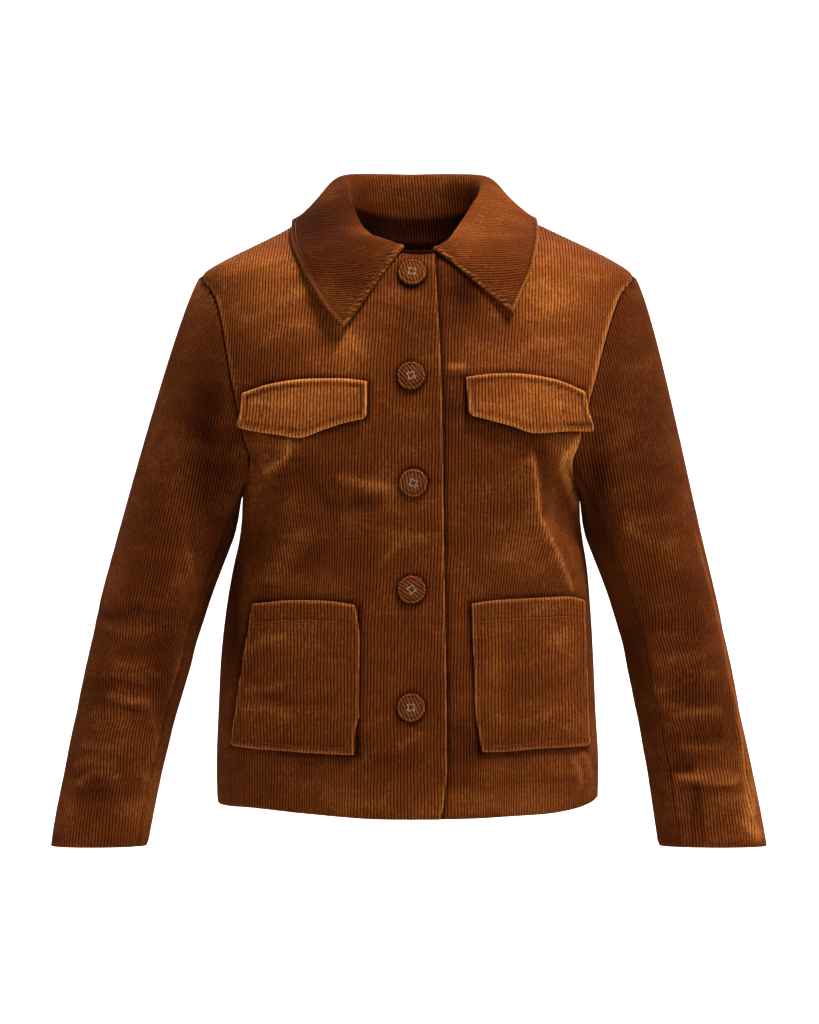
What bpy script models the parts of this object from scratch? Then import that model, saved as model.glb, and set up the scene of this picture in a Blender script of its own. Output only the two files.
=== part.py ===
"""A cropped corduroy jacket, filled out as if worn, modelled piece by piece as it is cut and sewn.

Metres, +Z up. The jacket faces -Y, so +X is the wearer's left. The origin is at the middle of the
neck, level with the inner ends of the shoulders. Body heights are therefore negative.
"""

import math

import bpy
import numpy as np
from mathutils import Matrix, Vector

# ---------------------------------------------------------------------------- driving sizes
CLOTH = 0.0020  # wall of the corduroy
PLY = 0.0012  # wall of each of the collar's two layers
SEAM = 0.0003  # gap between two pieces at a seam
UNDERARM_GAP = 0.0015  # the sleeve clears the side of the body here
FOLD_GAP = 0.0008  # between the collar's two layers

UNDERARM_Z = -0.278  # top of the side seams
HEM_LEVEL = -0.598
WALE_LEVEL = -0.110  # above this height a panel's ribs stay upright
SIDE_SEAM_Y = -0.030  # the side seams lie a little to the front
FRONT_OVERLAP = 0.030  # the upper front stands off this far from the centre line
UNDER_REACH = 0.026  # how far the under front reaches past the centre line
FRONT_LIFT = 0.0035  # the upper front lies this far out over the under one
LIFT_FADE = 0.030  # and comes back to the body over this width

PATCH_LIFT = 0.0012  # a pocket or flap above its front
BUTTON_RADIUS = 0.0132
BUTTON_HEIGHT = 0.0042
BUTTON_SINK = 0.0004  # gap between a button and the front

# ---------------------------------------------------------------------------- the body's form
# Level sections of the body: squared ellipses, of half width, depth to the front and to the back
# of the shoulder seam, sideways shift and how square each half is.
BODY_COLUMNS = ("z", "half_width", "front", "back", "shift", "front_power", "back_power")
BODY = (
    (-0.604, 0.1895, 0.1250, 0.1130, -0.0035, 2.70, 2.50),
    (-0.560, 0.1905, 0.1225, 0.1110, -0.0035, 2.70, 2.50),
    (-0.500, 0.1880, 0.1190, 0.1060, -0.0040, 2.65, 2.50),
    (-0.450, 0.1858, 0.1160, 0.1010, -0.0038, 2.60, 2.45),
    (-0.400, 0.1815, 0.1140, 0.0965, -0.0025, 2.60, 2.40),
    (-0.360, 0.1763, 0.1135, 0.0935, -0.0008, 2.60, 2.40),
    (-0.335, 0.1715, 0.1140, 0.0930, 0.0000, 2.65, 2.45),
    (-0.305, 0.1685, 0.1165, 0.0940, 0.0000, 2.75, 2.50),
    (-0.278, 0.1690, 0.1195, 0.0955, 0.0000, 2.80, 2.60),
    (-0.258, 0.1775, 0.1220, 0.0970, 0.0002, 2.80, 2.65),
    (-0.240, 0.1860, 0.1240, 0.0990, 0.0005, 2.80, 2.70),
    (-0.200, 0.2050, 0.1250, 0.1030, 0.0015, 2.70, 2.70),
    (-0.150, 0.2150, 0.1200, 0.1055, 0.0033, 2.60, 2.65),
    (-0.110, 0.2172, 0.1120, 0.1030, 0.0055, 2.50, 2.55),
    (-0.090, 0.2168, 0.1070, 0.1000, 0.0063, 2.50, 2.50),
    (-0.068, 0.2145, 0.0980, 0.0960, 0.0066, 2.50, 2.50),
    (-0.053, 0.1915, 0.0840, 0.0905, 0.0075, 2.50, 2.50),
    (-0.043, 0.1725, 0.0710, 0.0850, 0.0080, 2.50, 2.50),
    (-0.033, 0.1529, 0.0550, 0.0780, 0.0075, 2.50, 2.50),
    (-0.025, 0.1373, 0.0420, 0.0690, 0.0070, 2.50, 2.50),
    (-0.017, 0.1222, 0.0300, 0.0570, 0.0055, 2.50, 2.50),
    (-0.008, 0.1010, 0.0190, 0.0390, 0.0030, 2.50, 2.50),
    (0.000, 0.0800, 0.0100, 0.0200, 0.0020, 2.50, 2.50),
)
SHOULDER_TIP_Z = -0.068

# The neck seam seen from the front, one line for the fronts and one for the back.
NECK_COLUMNS = ("x", "front_z", "back_z")
NECK = (
    (-0.030, -0.0570, -0.0330),
    (0.000, -0.0600, -0.0335),
    (0.030, -0.0530, -0.0310),
    (0.055, -0.0370, -0.0225),
    (0.067, -0.0265, -0.0150),
    (0.075, -0.0150, -0.0080),
    (0.080, 0.0000, 0.0000),
)
NECK_SIDE_X = 0.080

# The edge of the upper front, by height, and the hem along the front and the back.
FRONT_EDGE_COLUMNS = ("z", "x")
FRONT_EDGE = (
    (-0.604, 0.0275),
    (-0.590, 0.0300),
    (-0.545, 0.0343),
    (-0.456, 0.0334),
    (-0.330, 0.0314),
    (-0.170, 0.0286),
    (-0.060, 0.0229),
)
HEM_COLUMNS = ("x", "front_z", "back_z")
HEM = (
    (-0.200, -0.5965, -0.5970),
    (-0.178, -0.5938, -0.5945),
    (-0.150, -0.5921, -0.5935),
    (-0.100, -0.5947, -0.5955),
    (-0.040, -0.5986, -0.5980),
    (0.040, -0.5992, -0.5985),
    (0.100, -0.5974, -0.5970),
    (0.150, -0.5957, -0.5955),
    (0.175, -0.5925, -0.5935),
    (0.200, -0.5870, -0.5885),
)

# The armhole, by depth and height, from the side seam to the shoulder tip.
ARMHOLE_COLUMNS = ("y", "z")
ARMHOLE_FRONT = (
    (-0.0300, -0.2780),
    (-0.0580, -0.2725),
    (-0.0750, -0.2640),
    (-0.0820, -0.2530),
    (-0.0848, -0.2320),
    (-0.0880, -0.1990),
    (-0.0860, -0.1800),
    (-0.0780, -0.1440),
    (-0.0680, -0.1170),
    (-0.0550, -0.0930),
    (-0.0300, -0.0755),
    (0.0000, -0.0680),
)
ARMHOLE_BACK = (
    (-0.0300, -0.2780),
    (0.0000, -0.2775),
    (0.0280, -0.2735),
    (0.0500, -0.2620),
    (0.0620, -0.2400),
    (0.0665, -0.2100),
    (0.0670, -0.1700),
    (0.0600, -0.1260),
    (0.0430, -0.0935),
    (0.0230, -0.0765),
    (0.0000, -0.0680),
)

# Soft ridges and hollows of the fronts, as seen from the front: three points on the wearer's left,
# height, and the width towards the centre and towards the side. The bust dart's take-up gives the
# first two, the pull of the armhole the third.
FOLD_COLUMNS = ("points", "height", "inner", "outer")
FRONT_FOLDS = (
    (((0.116, -0.238), (0.120, -0.305), (0.157, -0.385)), 0.0050, 0.030, 0.013),
    (((0.149, -0.262), (0.147, -0.310), (0.168, -0.352)), -0.0055, 0.012, 0.014),
    (((0.150, -0.205), (0.143, -0.235), (0.146, -0.262)), 0.0030, 0.016, 0.010),
)
BACK_FOLDS = (
    (((0.135, -0.170), (0.130, -0.250), (0.120, -0.330)), 0.0040, 0.022, 0.020),
    (((0.000, -0.340), (0.000, -0.420), (0.000, -0.520)), -0.0040, 0.035, 0.035),
    (((0.090, -0.330), (0.105, -0.430), (0.120, -0.540)), 0.0045, 0.030, 0.022),
)

FOLD_FADE = 0.030  # the folds rise over this width away from the side seams
FOLD_ROUTE = 13  # places along a fold's middle line
FOLD_ENDS = 1.4  # how soon a fold rises from its two ends

# ---------------------------------------------------------------------------- sleeves
# Level sections of each sleeve below the cap: ellipses. Left and right are the wearer's.
SLEEVE_COLUMNS = ("z", "left_x", "left_half", "right_x", "right_half", "y", "half_depth")
SLEEVE = (
    (-0.3345, 0.2337, 0.0574, 0.2363, 0.0578, -0.0100, 0.0640),
    (-0.3944, 0.2517, 0.0530, 0.2552, 0.0544, -0.0150, 0.0600),
    (-0.4540, 0.2656, 0.0513, 0.2700, 0.0518, -0.0200, 0.0560),
    (-0.5132, 0.2768, 0.0512, 0.2843, 0.0497, -0.0260, 0.0500),
    (-0.5720, 0.2878, 0.0520, 0.2967, 0.0481, -0.0330, 0.0440),
    (-0.6110, 0.2941, 0.0529, 0.3040, 0.0479, -0.0380, 0.0400),
    (-0.6360, 0.2978, 0.0533, 0.3079, 0.0474, -0.0410, 0.0380),
)
CUFF_RISE = 0.0030  # the cuff's edge is this much higher in front
CAP_CENTRE_YZ = (-0.005, -0.180)  # middle of the armhole
CAP_RADII_YZ = (0.080, 0.100)
CAP_START = 0.050  # pull of the cap away from the armhole
CAP_END = 0.190  # pull into the upper arm
CAP_END_SHARE = 0.9  # no more of the cap's own length than this
CAP_LENGTH = 0.160  # the cap's length at which the first pull is whole
CAP_PULL = (0.15, 1.4)  # least and most of it
CAP_OUT = (0.36, 0.24)  # the first pull's way out, in the middle and more of it at the shoulder
CAP_FRONT = 0.10
CAP_DOWN = (0.80, 0.20)
CAP_BELOW = 0.020  # the upper arm's way is taken over this height
CAP_AGREES = (0.1, 0.5)  # how alike the cap and the body must face to share a normal, and over what
LEFT_FRONT_SEAM_ANGLE = math.radians(131)  # round the sleeve: 0 outside, 90 degrees in front
RIGHT_FRONT_SEAM_ANGLE = math.radians(150)
BACK_SEAM_ANGLE = math.radians(306)
SLEEVE_FOLD_COLUMNS = ("angle", "z", "half_angle", "half_height", "depth")
SLEEVE_FOLDS = (
    (85, -0.425, 60, 0.012, -0.0030),
    (95, -0.462, 55, 0.011, 0.0030),
    (85, -0.505, 60, 0.013, -0.0030),
    (100, -0.560, 55, 0.012, -0.0030),
    (245, -0.440, 50, 0.014, -0.0040),
    (260, -0.520, 55, 0.016, -0.0035),
)

# ---------------------------------------------------------------------------- collar
# From the back centre to one front end: where it leaves the neck seam, the top of the fold and
# the outer edge, and the way the fold faces seen from above (90 is back, 0 sideways, -90 front).
COLLAR_COLUMNS = ("neck_x", "neck_half", "fold", "edge", "facing", "roll")
COLLAR_LEFT = (
    (0.000, "back", (0.0000, 0.0730, 0.0420), (0.0000, 0.0950, -0.0440), 90, 0.0045),
    (0.036, "back", (0.0400, 0.0690, 0.0420), (0.0560, 0.0900, -0.0425), 72, 0.0050),
    (0.062, "back", (0.0750, 0.0460, 0.0358), (0.1015, 0.0700, -0.0330), 34, 0.0090),
    (0.080, "back", (0.0730, 0.0140, 0.0195), (0.1225, 0.0080, -0.0130), 4, 0.0160),
    (0.066, "front", (0.0600, -0.0260, -0.0070), (0.1250, -0.0500, -0.0385), -14, 0.0080),
    (0.046, "front", (0.0470, -0.0560, -0.0290), (0.1160, -0.0930, -0.0740), -38, 0.0050),
    (0.030, "front", (0.0350, -0.0770, -0.0460), (0.1060, -0.1060, -0.0975), -58, 0.0045),
    (0.0175, "front", (0.0236, -0.0890, -0.0550), (0.0973, -0.1150, -0.1170), -74, 0.0045),
)
COLLAR_RIGHT = (
    (0.000, "back", (0.0000, 0.0730, 0.0420), (0.0000, 0.0950, -0.0440), 90, 0.0045),
    (0.036, "back", (0.0370, 0.0700, 0.0420), (0.0550, 0.0900, -0.0425), 74, 0.0060),
    (0.062, "back", (0.0685, 0.0470, 0.0364), (0.0985, 0.0710, -0.0335), 36, 0.0130),
    (0.080, "back", (0.0650, 0.0140, 0.0205), (0.1160, 0.0080, -0.0150), 4, 0.0200),
    (0.069, "front", (0.0560, -0.0260, -0.0130), (0.1165, -0.0620, -0.0440), -14, 0.0090),
    (0.053, "front", (0.0440, -0.0560, -0.0330), (0.1000, -0.1000, -0.0820), -42, 0.0050),
    (0.031, "front", (0.0250, -0.0800, -0.0500), (0.0825, -0.1160, -0.1105), -64, 0.0045),
    (0.0145, "front", (0.0087, -0.0930, -0.0560), (0.0640, -0.1260, -0.1320), -80, 0.0045),
)
COLLAR_REST = 0.0016  # the collar's fall above the front it lies on
FALL_OVER_STAND = 0.0014  # more than that where the fall lies on the stand
SEAM_REST = 0.0018
NECK_FREEDOM = 1.5  # how much less that is for each length further above the neck seam
NECK_MARGIN = 0.004
CLEARING_STEPS = 8
BUTTON_CLEAR = 0.010  # the collar comes down again over this width round the top button
ABOVE_TOP = 0.010  # height over which the body counts as left behind
STAND_START = 0.0024  # the collar starts this far above the neck seam
MOST_ROLL = 0.8  # a low stand rolls over no further than this share of its height

# ---------------------------------------------------------------------------- flaps and pockets
# Outlines seen from the front, from the centre side to the arm side: how far out from the centre
# line and how high the top and the bottom edge are.
OUTLINE_COLUMNS = ("top_out", "top_z", "bottom_out", "bottom_z")
LEFT_FLAP = (
    (0.0519, -0.1783, 0.0543, -0.2141),
    (0.0730, -0.1755, 0.0740, -0.2190),
    (0.0945, -0.1745, 0.0945, -0.2243),
    (0.1170, -0.1760, 0.1165, -0.2305),
    (0.1390, -0.1800, 0.1450, -0.2275),
    (0.1661, -0.1900, 0.1725, -0.2272),
)
RIGHT_FLAP = (
    (0.0412, -0.1827, 0.0419, -0.2175),
    (0.0600, -0.1800, 0.0620, -0.2215),
    (0.0810, -0.1795, 0.0830, -0.2280),
    (0.1080, -0.1803, 0.1050, -0.2350),
    (0.1357, -0.1843, 0.1270, -0.2312),
    (0.1614, -0.1916, 0.1634, -0.2232),
)
LEFT_POCKET = (
    (0.0563, -0.3943, 0.0660, -0.5355),
    (0.0790, -0.3912, 0.0860, -0.5355),
    (0.1020, -0.3900, 0.1060, -0.5345),
    (0.1250, -0.3892, 0.1247, -0.5336),
    (0.1568, -0.3898, 0.1560, -0.5340),
    (0.1683, -0.3932, 0.1720, -0.5348),
)
RIGHT_POCKET = (
    (0.0493, -0.3960, 0.0512, -0.5382),
    (0.0765, -0.3920, 0.0780, -0.5375),
    (0.1012, -0.3912, 0.1020, -0.5365),
    (0.1230, -0.3920, 0.1255, -0.5354),
    (0.1430, -0.3945, 0.1560, -0.5345),
    (0.1525, -0.3956, 0.1740, -0.5337),
)
FLAP_OPEN = 0.0035  # how far the flap's free edge stands off
FLAP_FLAT_FROM = 0.146  # past this the flap keeps straight on over the armhole
FLAP_SLOPE = 0.42
FLAP_CURL = 1.5  # how late that opening grows down the flap
FLAP_LETS_GO = 1.6  # and how soon it stops following the front
FLAP_ROWS = 5
POCKET_ROWS = 8

BUTTON_PROFILE = ((0.0, 0.0), (0.80, 0.0), (1.00, 0.35), (0.96, 0.72), (0.72, 0.95), (0.0, 1.0))
BUTTON_COLUMNS = ("x", "z", "turn")
BUTTONS = (
    (0.0010, -0.0785, 15),
    (0.0000, -0.1775, 40),
    (0.0022, -0.2780, 10),
    (0.0006, -0.3805, 55),
    (0.0000, -0.4928, 25),
)

# ---------------------------------------------------------------------------- mesh densities
NECK_X = (0.0, 0.018, 0.036, 0.053, 0.067)
SHOULDER_X = (NECK_SIDE_X, 0.096, 0.113, 0.130, 0.147, 0.163, 0.178, 0.192, 0.204, 0.2145)
TOP_X = NECK_X + SHOULDER_X  # places along a panel's top edge
RING_STEPS = 240
SHOULDER_SAMPLES = 2001
NUDGE = 0.0005  # the step over which a slope is taken
LOWER_ROWS = 10
ARMHOLE_STEPS = (0.0, 0.10, 0.20, 0.29, 0.39, 0.50, 0.61, 0.71, 0.80, 0.88, 0.94, 0.98, 1.0)
CAP_ROWS = 7
ARM_ROWS = 8
PATCH_COLUMNS = 12
COLLAR_ALONG = 3  # steps between two rows of the collar table
COLLAR_STAND = 3
COLLAR_FALL = 6
FOLD_SAMPLES = 24
SAMPLES_CLOSER = 1.3  # how much closer the samples get towards the fold
PLACES_CLOSER = 1.65  # and the collar's own points
EVEN_STAND = 0.020  # a stand up to this tall has even steps
FOLD_SOFTNESS = 0.0040
SOFT_STEPS = np.linspace(-2, 2, 9)
SOFT_WEIGHTS = np.exp(-(SOFT_STEPS**2) / 2)
SOFT_WEIGHTS /= SOFT_WEIGHTS.sum()
BUTTON_STEPS = 20
CORNER = math.radians(50)  # edges sharper than this are drawn sharp

# ---------------------------------------------------------------------------- finish
CORDUROY = (0.190, 0.056, 0.014)
COVERED_BUTTON = (0.215, 0.068, 0.019)
NAP = 0.88  # roughness
SHEEN = 0.5

LEFT, RIGHT = 1, -1  # the wearer's sides, as signs of x


# ---------------------------------------------------------------------------- curves and tables
def column(rows, names, name):
    return np.array([row[names.index(name)] for row in rows], float)


def smooth(xs, ys, x, level_turns=True):
    """A cubic through the points of a table, held past its ends and level where the values turn."""
    x = np.clip(np.asarray(x, float), xs[0], xs[-1])
    steps = np.diff(xs)
    rises = np.diff(ys) / steps
    slopes = np.empty(len(xs))
    slopes[0], slopes[-1] = rises[0], rises[-1]
    slopes[1:-1] = (rises[:-1] * steps[1:] + rises[1:] * steps[:-1]) / (steps[1:] + steps[:-1])
    turned = level_turns & (np.sign(rises[:-1]) != np.sign(rises[1:]))
    slopes[1:-1][turned] = 0.0
    i = np.clip(np.searchsorted(xs, x) - 1, 0, len(steps) - 1)
    t = (x - xs[i]) / steps[i]
    start = (1 + 2 * t) * (1 - t) ** 2 * ys[i] + t * (1 - t) ** 2 * steps[i] * slopes[i]
    end = t * t * (3 - 2 * t) * ys[i + 1] + t * t * (t - 1) * steps[i] * slopes[i + 1]
    return start + end


def along(points, t):
    """A smooth curve through a few points, t from 0 to 1 by length."""
    points = np.asarray(points, float)
    walked = np.concatenate([[0], np.cumsum(np.linalg.norm(np.diff(points, axis=0), axis=1))])
    walked /= walked[-1]
    return np.stack([smooth(walked, points[:, i], t) for i in range(points.shape[1])], axis=-1)


def hermite(t, start, leaving, end, arriving):
    """A point of the curve between two ends with these pulls."""
    place = (1 + 2 * t) * (1 - t) ** 2 * start + t * (1 - t) ** 2 * leaving
    return place + t * t * (3 - 2 * t) * end + t * t * (t - 1) * arriving


def unit(v):
    return v / np.maximum(np.linalg.norm(v, axis=-1, keepdims=True), 1e-12)


def ease(t):
    t = np.clip(t, 0, 1)
    return t * t * (3 - 2 * t)


BODY_TABLE = {name: column(BODY, BODY_COLUMNS, name) for name in BODY_COLUMNS}
BODY_TOP = BODY[-1][0]


def body_size(name, z):
    return smooth(BODY_TABLE["z"], BODY_TABLE[name], z)


def growth(name, z):
    """How fast a size of the body grows with height."""
    return (body_size(name, z + NUDGE) - body_size(name, z - NUDGE)) / (2 * NUDGE)


# ---------------------------------------------------------------------------- the body's surface
def ring(turn, z):
    """x and y on the body's section at height z. turn is 0 at the front centre, pi at the back."""
    front = turn <= math.pi / 2
    power = np.where(front, body_size("front_power", z), body_size("back_power", z))
    depth = np.where(front, -body_size("front", z), body_size("back", z))
    x = body_size("half_width", z) * np.maximum(np.sin(turn), 0) ** (2 / power)
    return x, depth * np.abs(np.cos(turn)) ** (2 / power)


def turn_at_x(x, z, half):
    """Where the section at height z has this distance from the centre."""
    power = body_size(half + "_power", z)
    share = np.clip(np.abs(x) / body_size("half_width", z), 0, 1)
    turn = np.arcsin(share ** (power / 2))
    return turn if half == "front" else math.pi - turn


def turn_at_y(y, z):
    front = y <= 0
    power = np.where(front, body_size("front_power", z), body_size("back_power", z))
    depth = np.where(front, body_size("front", z), body_size("back", z))
    turn = np.arccos(np.clip(np.abs(y) / depth, 0, 1) ** (power / 2))
    return np.where(front, turn, math.pi - turn)


def girth(z, half):
    """Turns round the section at each height, and the length walked from the centre of that half."""
    turns = np.linspace(0, math.pi, RING_STEPS + 1)
    if half == "back":
        turns = turns[::-1]
    x, y = ring(turns[None, :], np.asarray(z, float)[:, None])
    steps = np.hypot(np.diff(x, axis=1), np.diff(y, axis=1))
    return turns, np.concatenate([np.zeros((len(x), 1)), np.cumsum(steps, axis=1)], axis=1)


def walk(turn, z, half):
    """Length round the section from the centre to a turn."""
    turns, walked = girth(z, half)
    order = 1 if half == "front" else -1
    return np.array([np.interp(order * t, order * turns, row) for t, row in zip(turn, walked)])


def turn_walked(length, z, half):
    turns, walked = girth(z, half)
    return np.array([np.interp(u, row, turns) for u, row in zip(length, walked)])


def fold_height(x, z, front):
    """Height of the soft ridges and hollows at places seen from the front, both sides alike."""
    return np.where(front, folds_at(x, z, FRONT_FOLDS), folds_at(x, z, BACK_FOLDS))


def folds_at(x, z, folds):
    total = np.zeros(np.shape(x))
    reach = np.abs(x)
    for points, height, inner, outer in folds:
        share = np.linspace(0, 1, FOLD_ROUTE)
        route = along(points, share)
        away = np.stack([np.hypot(reach - px, z - pz) for px, pz in route])
        nearest = np.argmin(away, axis=0)
        width = np.where(reach < route[nearest, 0], inner, outer)
        ends = ease((1 - np.abs(2 * share[nearest] - 1)) * FOLD_ENDS)
        total += height * ends * np.exp(-((away.min(axis=0) / width) ** 2))
    return total


def body_point(turn, z, side, lift=0.0):
    """Outer surface of the body and its outward normal, side -1 or 1 of the centre line."""
    turn, z = np.broadcast_arrays(np.asarray(turn, float), np.asarray(z, float))
    x, y = ring(turn, z)
    front = turn <= math.pi / 2
    power = np.where(front, body_size("front_power", z), body_size("back_power", z))
    width = body_size("half_width", z)
    depth = np.where(front, body_size("front", z), body_size("back", z))
    widening = growth("half_width", z)
    deepening = np.where(front, growth("front", z), growth("back", z))
    share_x, share_y = np.abs(x) / width, np.abs(y) / depth
    normal = np.stack(
        [
            share_x ** (power - 1) / width,
            np.sign(y) * share_y ** (power - 1) / depth,
            -(share_x**power) * widening / width - share_y**power * deepening / depth,
        ],
        axis=-1,
    )
    normal = unit(normal)
    # Past the back's edge of the side the folds are gone, so that both panels agree at the seams.
    fade = ease((np.abs(y) - abs(SIDE_SEAM_Y)) / FOLD_FADE)
    fade *= ease((SHOULDER_TIP_Z - FOLD_FADE - z) / FOLD_FADE)
    height = fold_height(x, z, front) * fade
    ahead = fold_height(x + NUDGE, z, front), fold_height(x, z + NUDGE, front)
    slopes = [(value * fade - height) / NUDGE for value in ahead]
    tilt = np.stack([slopes[0], np.zeros(np.shape(x)), slopes[1]], axis=-1)
    tilt -= normal * (tilt * normal).sum(axis=-1, keepdims=True)
    points = np.stack([x, y, z], axis=-1) + normal * (height + lift)[..., None]
    normal = unit(normal - tilt)
    points[..., 0] = side * points[..., 0] + body_size("shift", z)
    normal[..., 0] *= side
    return points, normal


def front_lift(out):
    """How far the right front stands off to lie over the left one."""
    return FRONT_LIFT * ease(1 - np.maximum(out - FRONT_OVERLAP, 0) / LIFT_FADE)


def front_at(out, z, side, lift=0.0):
    """The front seen from the front: out is the distance from the centre line towards that side."""
    shift = body_size("shift", z)
    out = np.asarray(out, float) - side * shift
    turn = turn_at_x(out, z, "front")
    return body_point(turn, z, np.where(out < 0, -side, side), lift)


# ---------------------------------------------------------------------------- walls
def grid_faces(rising, offset, flip):
    """Two triangles a cell. rising says which cells are cut from their first to their last corner."""
    columns = rising.shape[1] + 1
    faces = []
    for (j, i), first in np.ndenumerate(rising):
        a = offset + j * columns + i
        b, c, d = a + 1, a + columns + 1, a + columns
        for corners in ((a, b, c), (a, c, d)) if first else ((a, b, d), (b, c, d)):
            faces.append(corners[::-1] if flip else corners)
    return faces


def rim_faces(rows, columns, inside, flip):
    """Faces that close the edges of a wall whose inner grid starts at inside."""
    edge = list(range(columns))
    edge += [j * columns + columns - 1 for j in range(1, rows)]
    edge += [(rows - 1) * columns + i for i in range(columns - 2, -1, -1)]
    edge += [j * columns for j in range(rows - 2, 0, -1)]
    faces = []
    for a, b in zip(edge, edge[1:] + edge[:1]):
        quad = (b, a, a + inside, b + inside)
        faces.append(quad[::-1] if flip else quad)
    return faces


def wall(name, outer, inner, colour, measured=None):
    """A closed wall lofted between an outer and an inner grid of section points.

    Both sides are cut into triangles the same way, along the shorter diagonals of the measured grid.
    """
    measured = outer if measured is None else measured
    rows, columns = outer.shape[:2]
    count = rows * columns
    corner = outer[:-1, :-1]
    facing = unit(np.cross(outer[1:, :-1] - corner, outer[:-1, 1:] - corner))
    flip = ((outer - inner)[:-1, :-1] * facing).sum() > 0
    across = np.linalg.norm(measured[1:, 1:] - measured[:-1, :-1], axis=2)
    rising = across <= np.linalg.norm(measured[1:, :-1] - measured[:-1, 1:], axis=2)
    faces = grid_faces(rising, 0, flip)
    faces += grid_faces(rising, count, not flip)
    faces += rim_faces(rows, columns, count, flip)
    mesh = bpy.data.meshes.new(name)
    mesh.from_pydata(np.concatenate([outer, inner]).reshape(-1, 3).tolist(), [], faces)
    mesh.validate()
    return place(name, mesh, colour)


def place(name, mesh, colour):
    obj = bpy.data.objects.new(name, mesh)
    jacket.objects.link(obj)
    obj.data.materials.append(finish(name, colour))
    obj.data.shade_smooth()
    obj.data.set_sharp_from_angle(angle=CORNER)
    return obj


def finish(name, colour):
    material = bpy.data.materials.new(name)
    material.use_nodes = True
    shader = material.node_tree.nodes["Principled BSDF"]
    shader.inputs["Base Color"].default_value = (*colour, 1)
    shader.inputs["Roughness"].default_value = NAP
    shader.inputs["Metallic"].default_value = 0.0
    shader.inputs["Sheen Weight"].default_value = SHEEN
    return material


def pull_in(grid, edge):
    """Draws an edge column of a grid, 0 or -1, back from its seam along the cloth."""
    inward = 1 if edge == 0 else -2
    grid[:, edge] += unit(grid[:, inward] - grid[:, edge]) * SEAM / 2


# ---------------------------------------------------------------------------- body panels
def armhole(half):
    """Turn and height at each step up the armhole, from the side seam to the shoulder tip."""
    rows = ARMHOLE_FRONT if half == "front" else ARMHOLE_BACK
    points = along(rows, np.array(ARMHOLE_STEPS))
    turns = turn_at_y(points[:, 0], points[:, 1])
    if half == "back":
        turns[-1] = math.pi / 2
    return turns, points[:, 1]


def neck_z(x, half):
    xs = column(NECK, NECK_COLUMNS, "x")
    return smooth(xs, column(NECK, NECK_COLUMNS, half + "_z"), x)


def shoulder_z(x):
    """Height of the shoulder seam, where the section is just this wide."""
    z = np.linspace(SHOULDER_TIP_Z, BODY_TOP, SHOULDER_SAMPLES)
    return np.interp(x, body_size("half_width", z)[::-1], z[::-1])


def hem_z(x, half):
    xs = column(HEM, HEM_COLUMNS, "x")
    return smooth(xs, column(HEM, HEM_COLUMNS, half + "_z"), x)


def past_centre(z, side, half):
    """How far a panel reaches past the body's centre line."""
    if half == "back":
        return np.zeros(np.shape(z))
    if side == LEFT:
        return np.full(np.shape(z), UNDER_REACH)
    heights = column(FRONT_EDGE, FRONT_EDGE_COLUMNS, "z")
    edges = column(FRONT_EDGE, FRONT_EDGE_COLUMNS, "x")
    return smooth(heights, edges, z) - body_size("shift", z)


def half_panel(side, half):
    """Turns, heights and lengths from the centre over half of the front or back, from the hem up."""
    top_x = np.array(TOP_X)
    if half == "front":
        reach = past_centre(BODY_TOP, side, half)
        top_x = np.concatenate([[-reach, -reach / 2], top_x])
    level = np.full(len(top_x), WALE_LEVEL)
    places = walk(turn_at_x(top_x, level, half), level, half) * np.where(top_x < 0, -1, 1)
    share = (places - places[0]) / (places[-1] - places[0])
    top_z = np.where(top_x <= NECK_SIDE_X, neck_z(top_x, half), shoulder_z(np.abs(top_x)))

    hem_level = np.full(len(share), HEM_LEVEL)
    hem_turn = turn_at_y(np.full(len(share), SIDE_SEAM_Y), hem_level)
    reach = past_centre(hem_level, side, half)
    hem_places = (walk(hem_turn, hem_level, half) + reach) * share - reach
    hem_x = ring(turn_walked(np.abs(hem_places), hem_level, half), hem_level)[0]
    low = hem_z(hem_x * side, half)
    lengths, heights = [], []
    for j in range(LOWER_ROWS):
        z = low + (UNDERARM_Z - low) * j / LOWER_ROWS
        end = walk(turn_at_y(np.full(len(z), SIDE_SEAM_Y), z), z, half)
        reach = past_centre(z, side, half)
        lengths.append((end + reach) * share - reach)
        heights.append(z)
    hole_turn, hole_z = armhole(half)
    for step, turn, z_end in zip(ARMHOLE_STEPS, hole_turn, hole_z):
        z = UNDERARM_Z + (top_z - UNDERARM_Z) * step
        z += (z_end - z[-1]) * share**3
        measured = min(z_end, WALE_LEVEL)
        if z_end > WALE_LEVEL:
            x_end = ring(np.array(turn), np.array(z_end))[0]
            turn = turn_at_x(x_end, np.array(measured), half)
        end = walk(np.array([turn]), np.array([measured]), half)[0]
        reach = past_centre(z, side, half)
        lengths.append((end + reach) * share - reach)
        heights.append(z)
    lengths, heights = np.array(lengths), np.array(heights)
    turns = panel_turns(lengths, heights, half)
    turns[LOWER_ROWS:, -1] = hole_turn
    turns[-1, top_x >= NECK_SIDE_X] = math.pi / 2
    return turns, heights, lengths


def panel_turns(lengths, heights, half):
    """The turn at each place of a panel. Above the wale level the ribs stay upright."""
    flat, z = np.abs(lengths).ravel(), heights.ravel()
    low = np.minimum(z, WALE_LEVEL)
    turn = turn_walked(flat, low, half)
    upper = turn_at_x(ring(turn, low)[0], z, half)
    return np.where(z > WALE_LEVEL, upper, turn).reshape(lengths.shape)


def front_panel(name, side):
    turns, heights, lengths = half_panel(side, "front")
    sides = np.where(lengths < 0, -side, side)
    lift = front_lift(lengths) if side == RIGHT else 0.0
    outer, normal = body_point(turns, heights, sides, lift)
    build_panel(name, outer, normal, [slice(-len(SHOULDER_X), None)], [-1])


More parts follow.
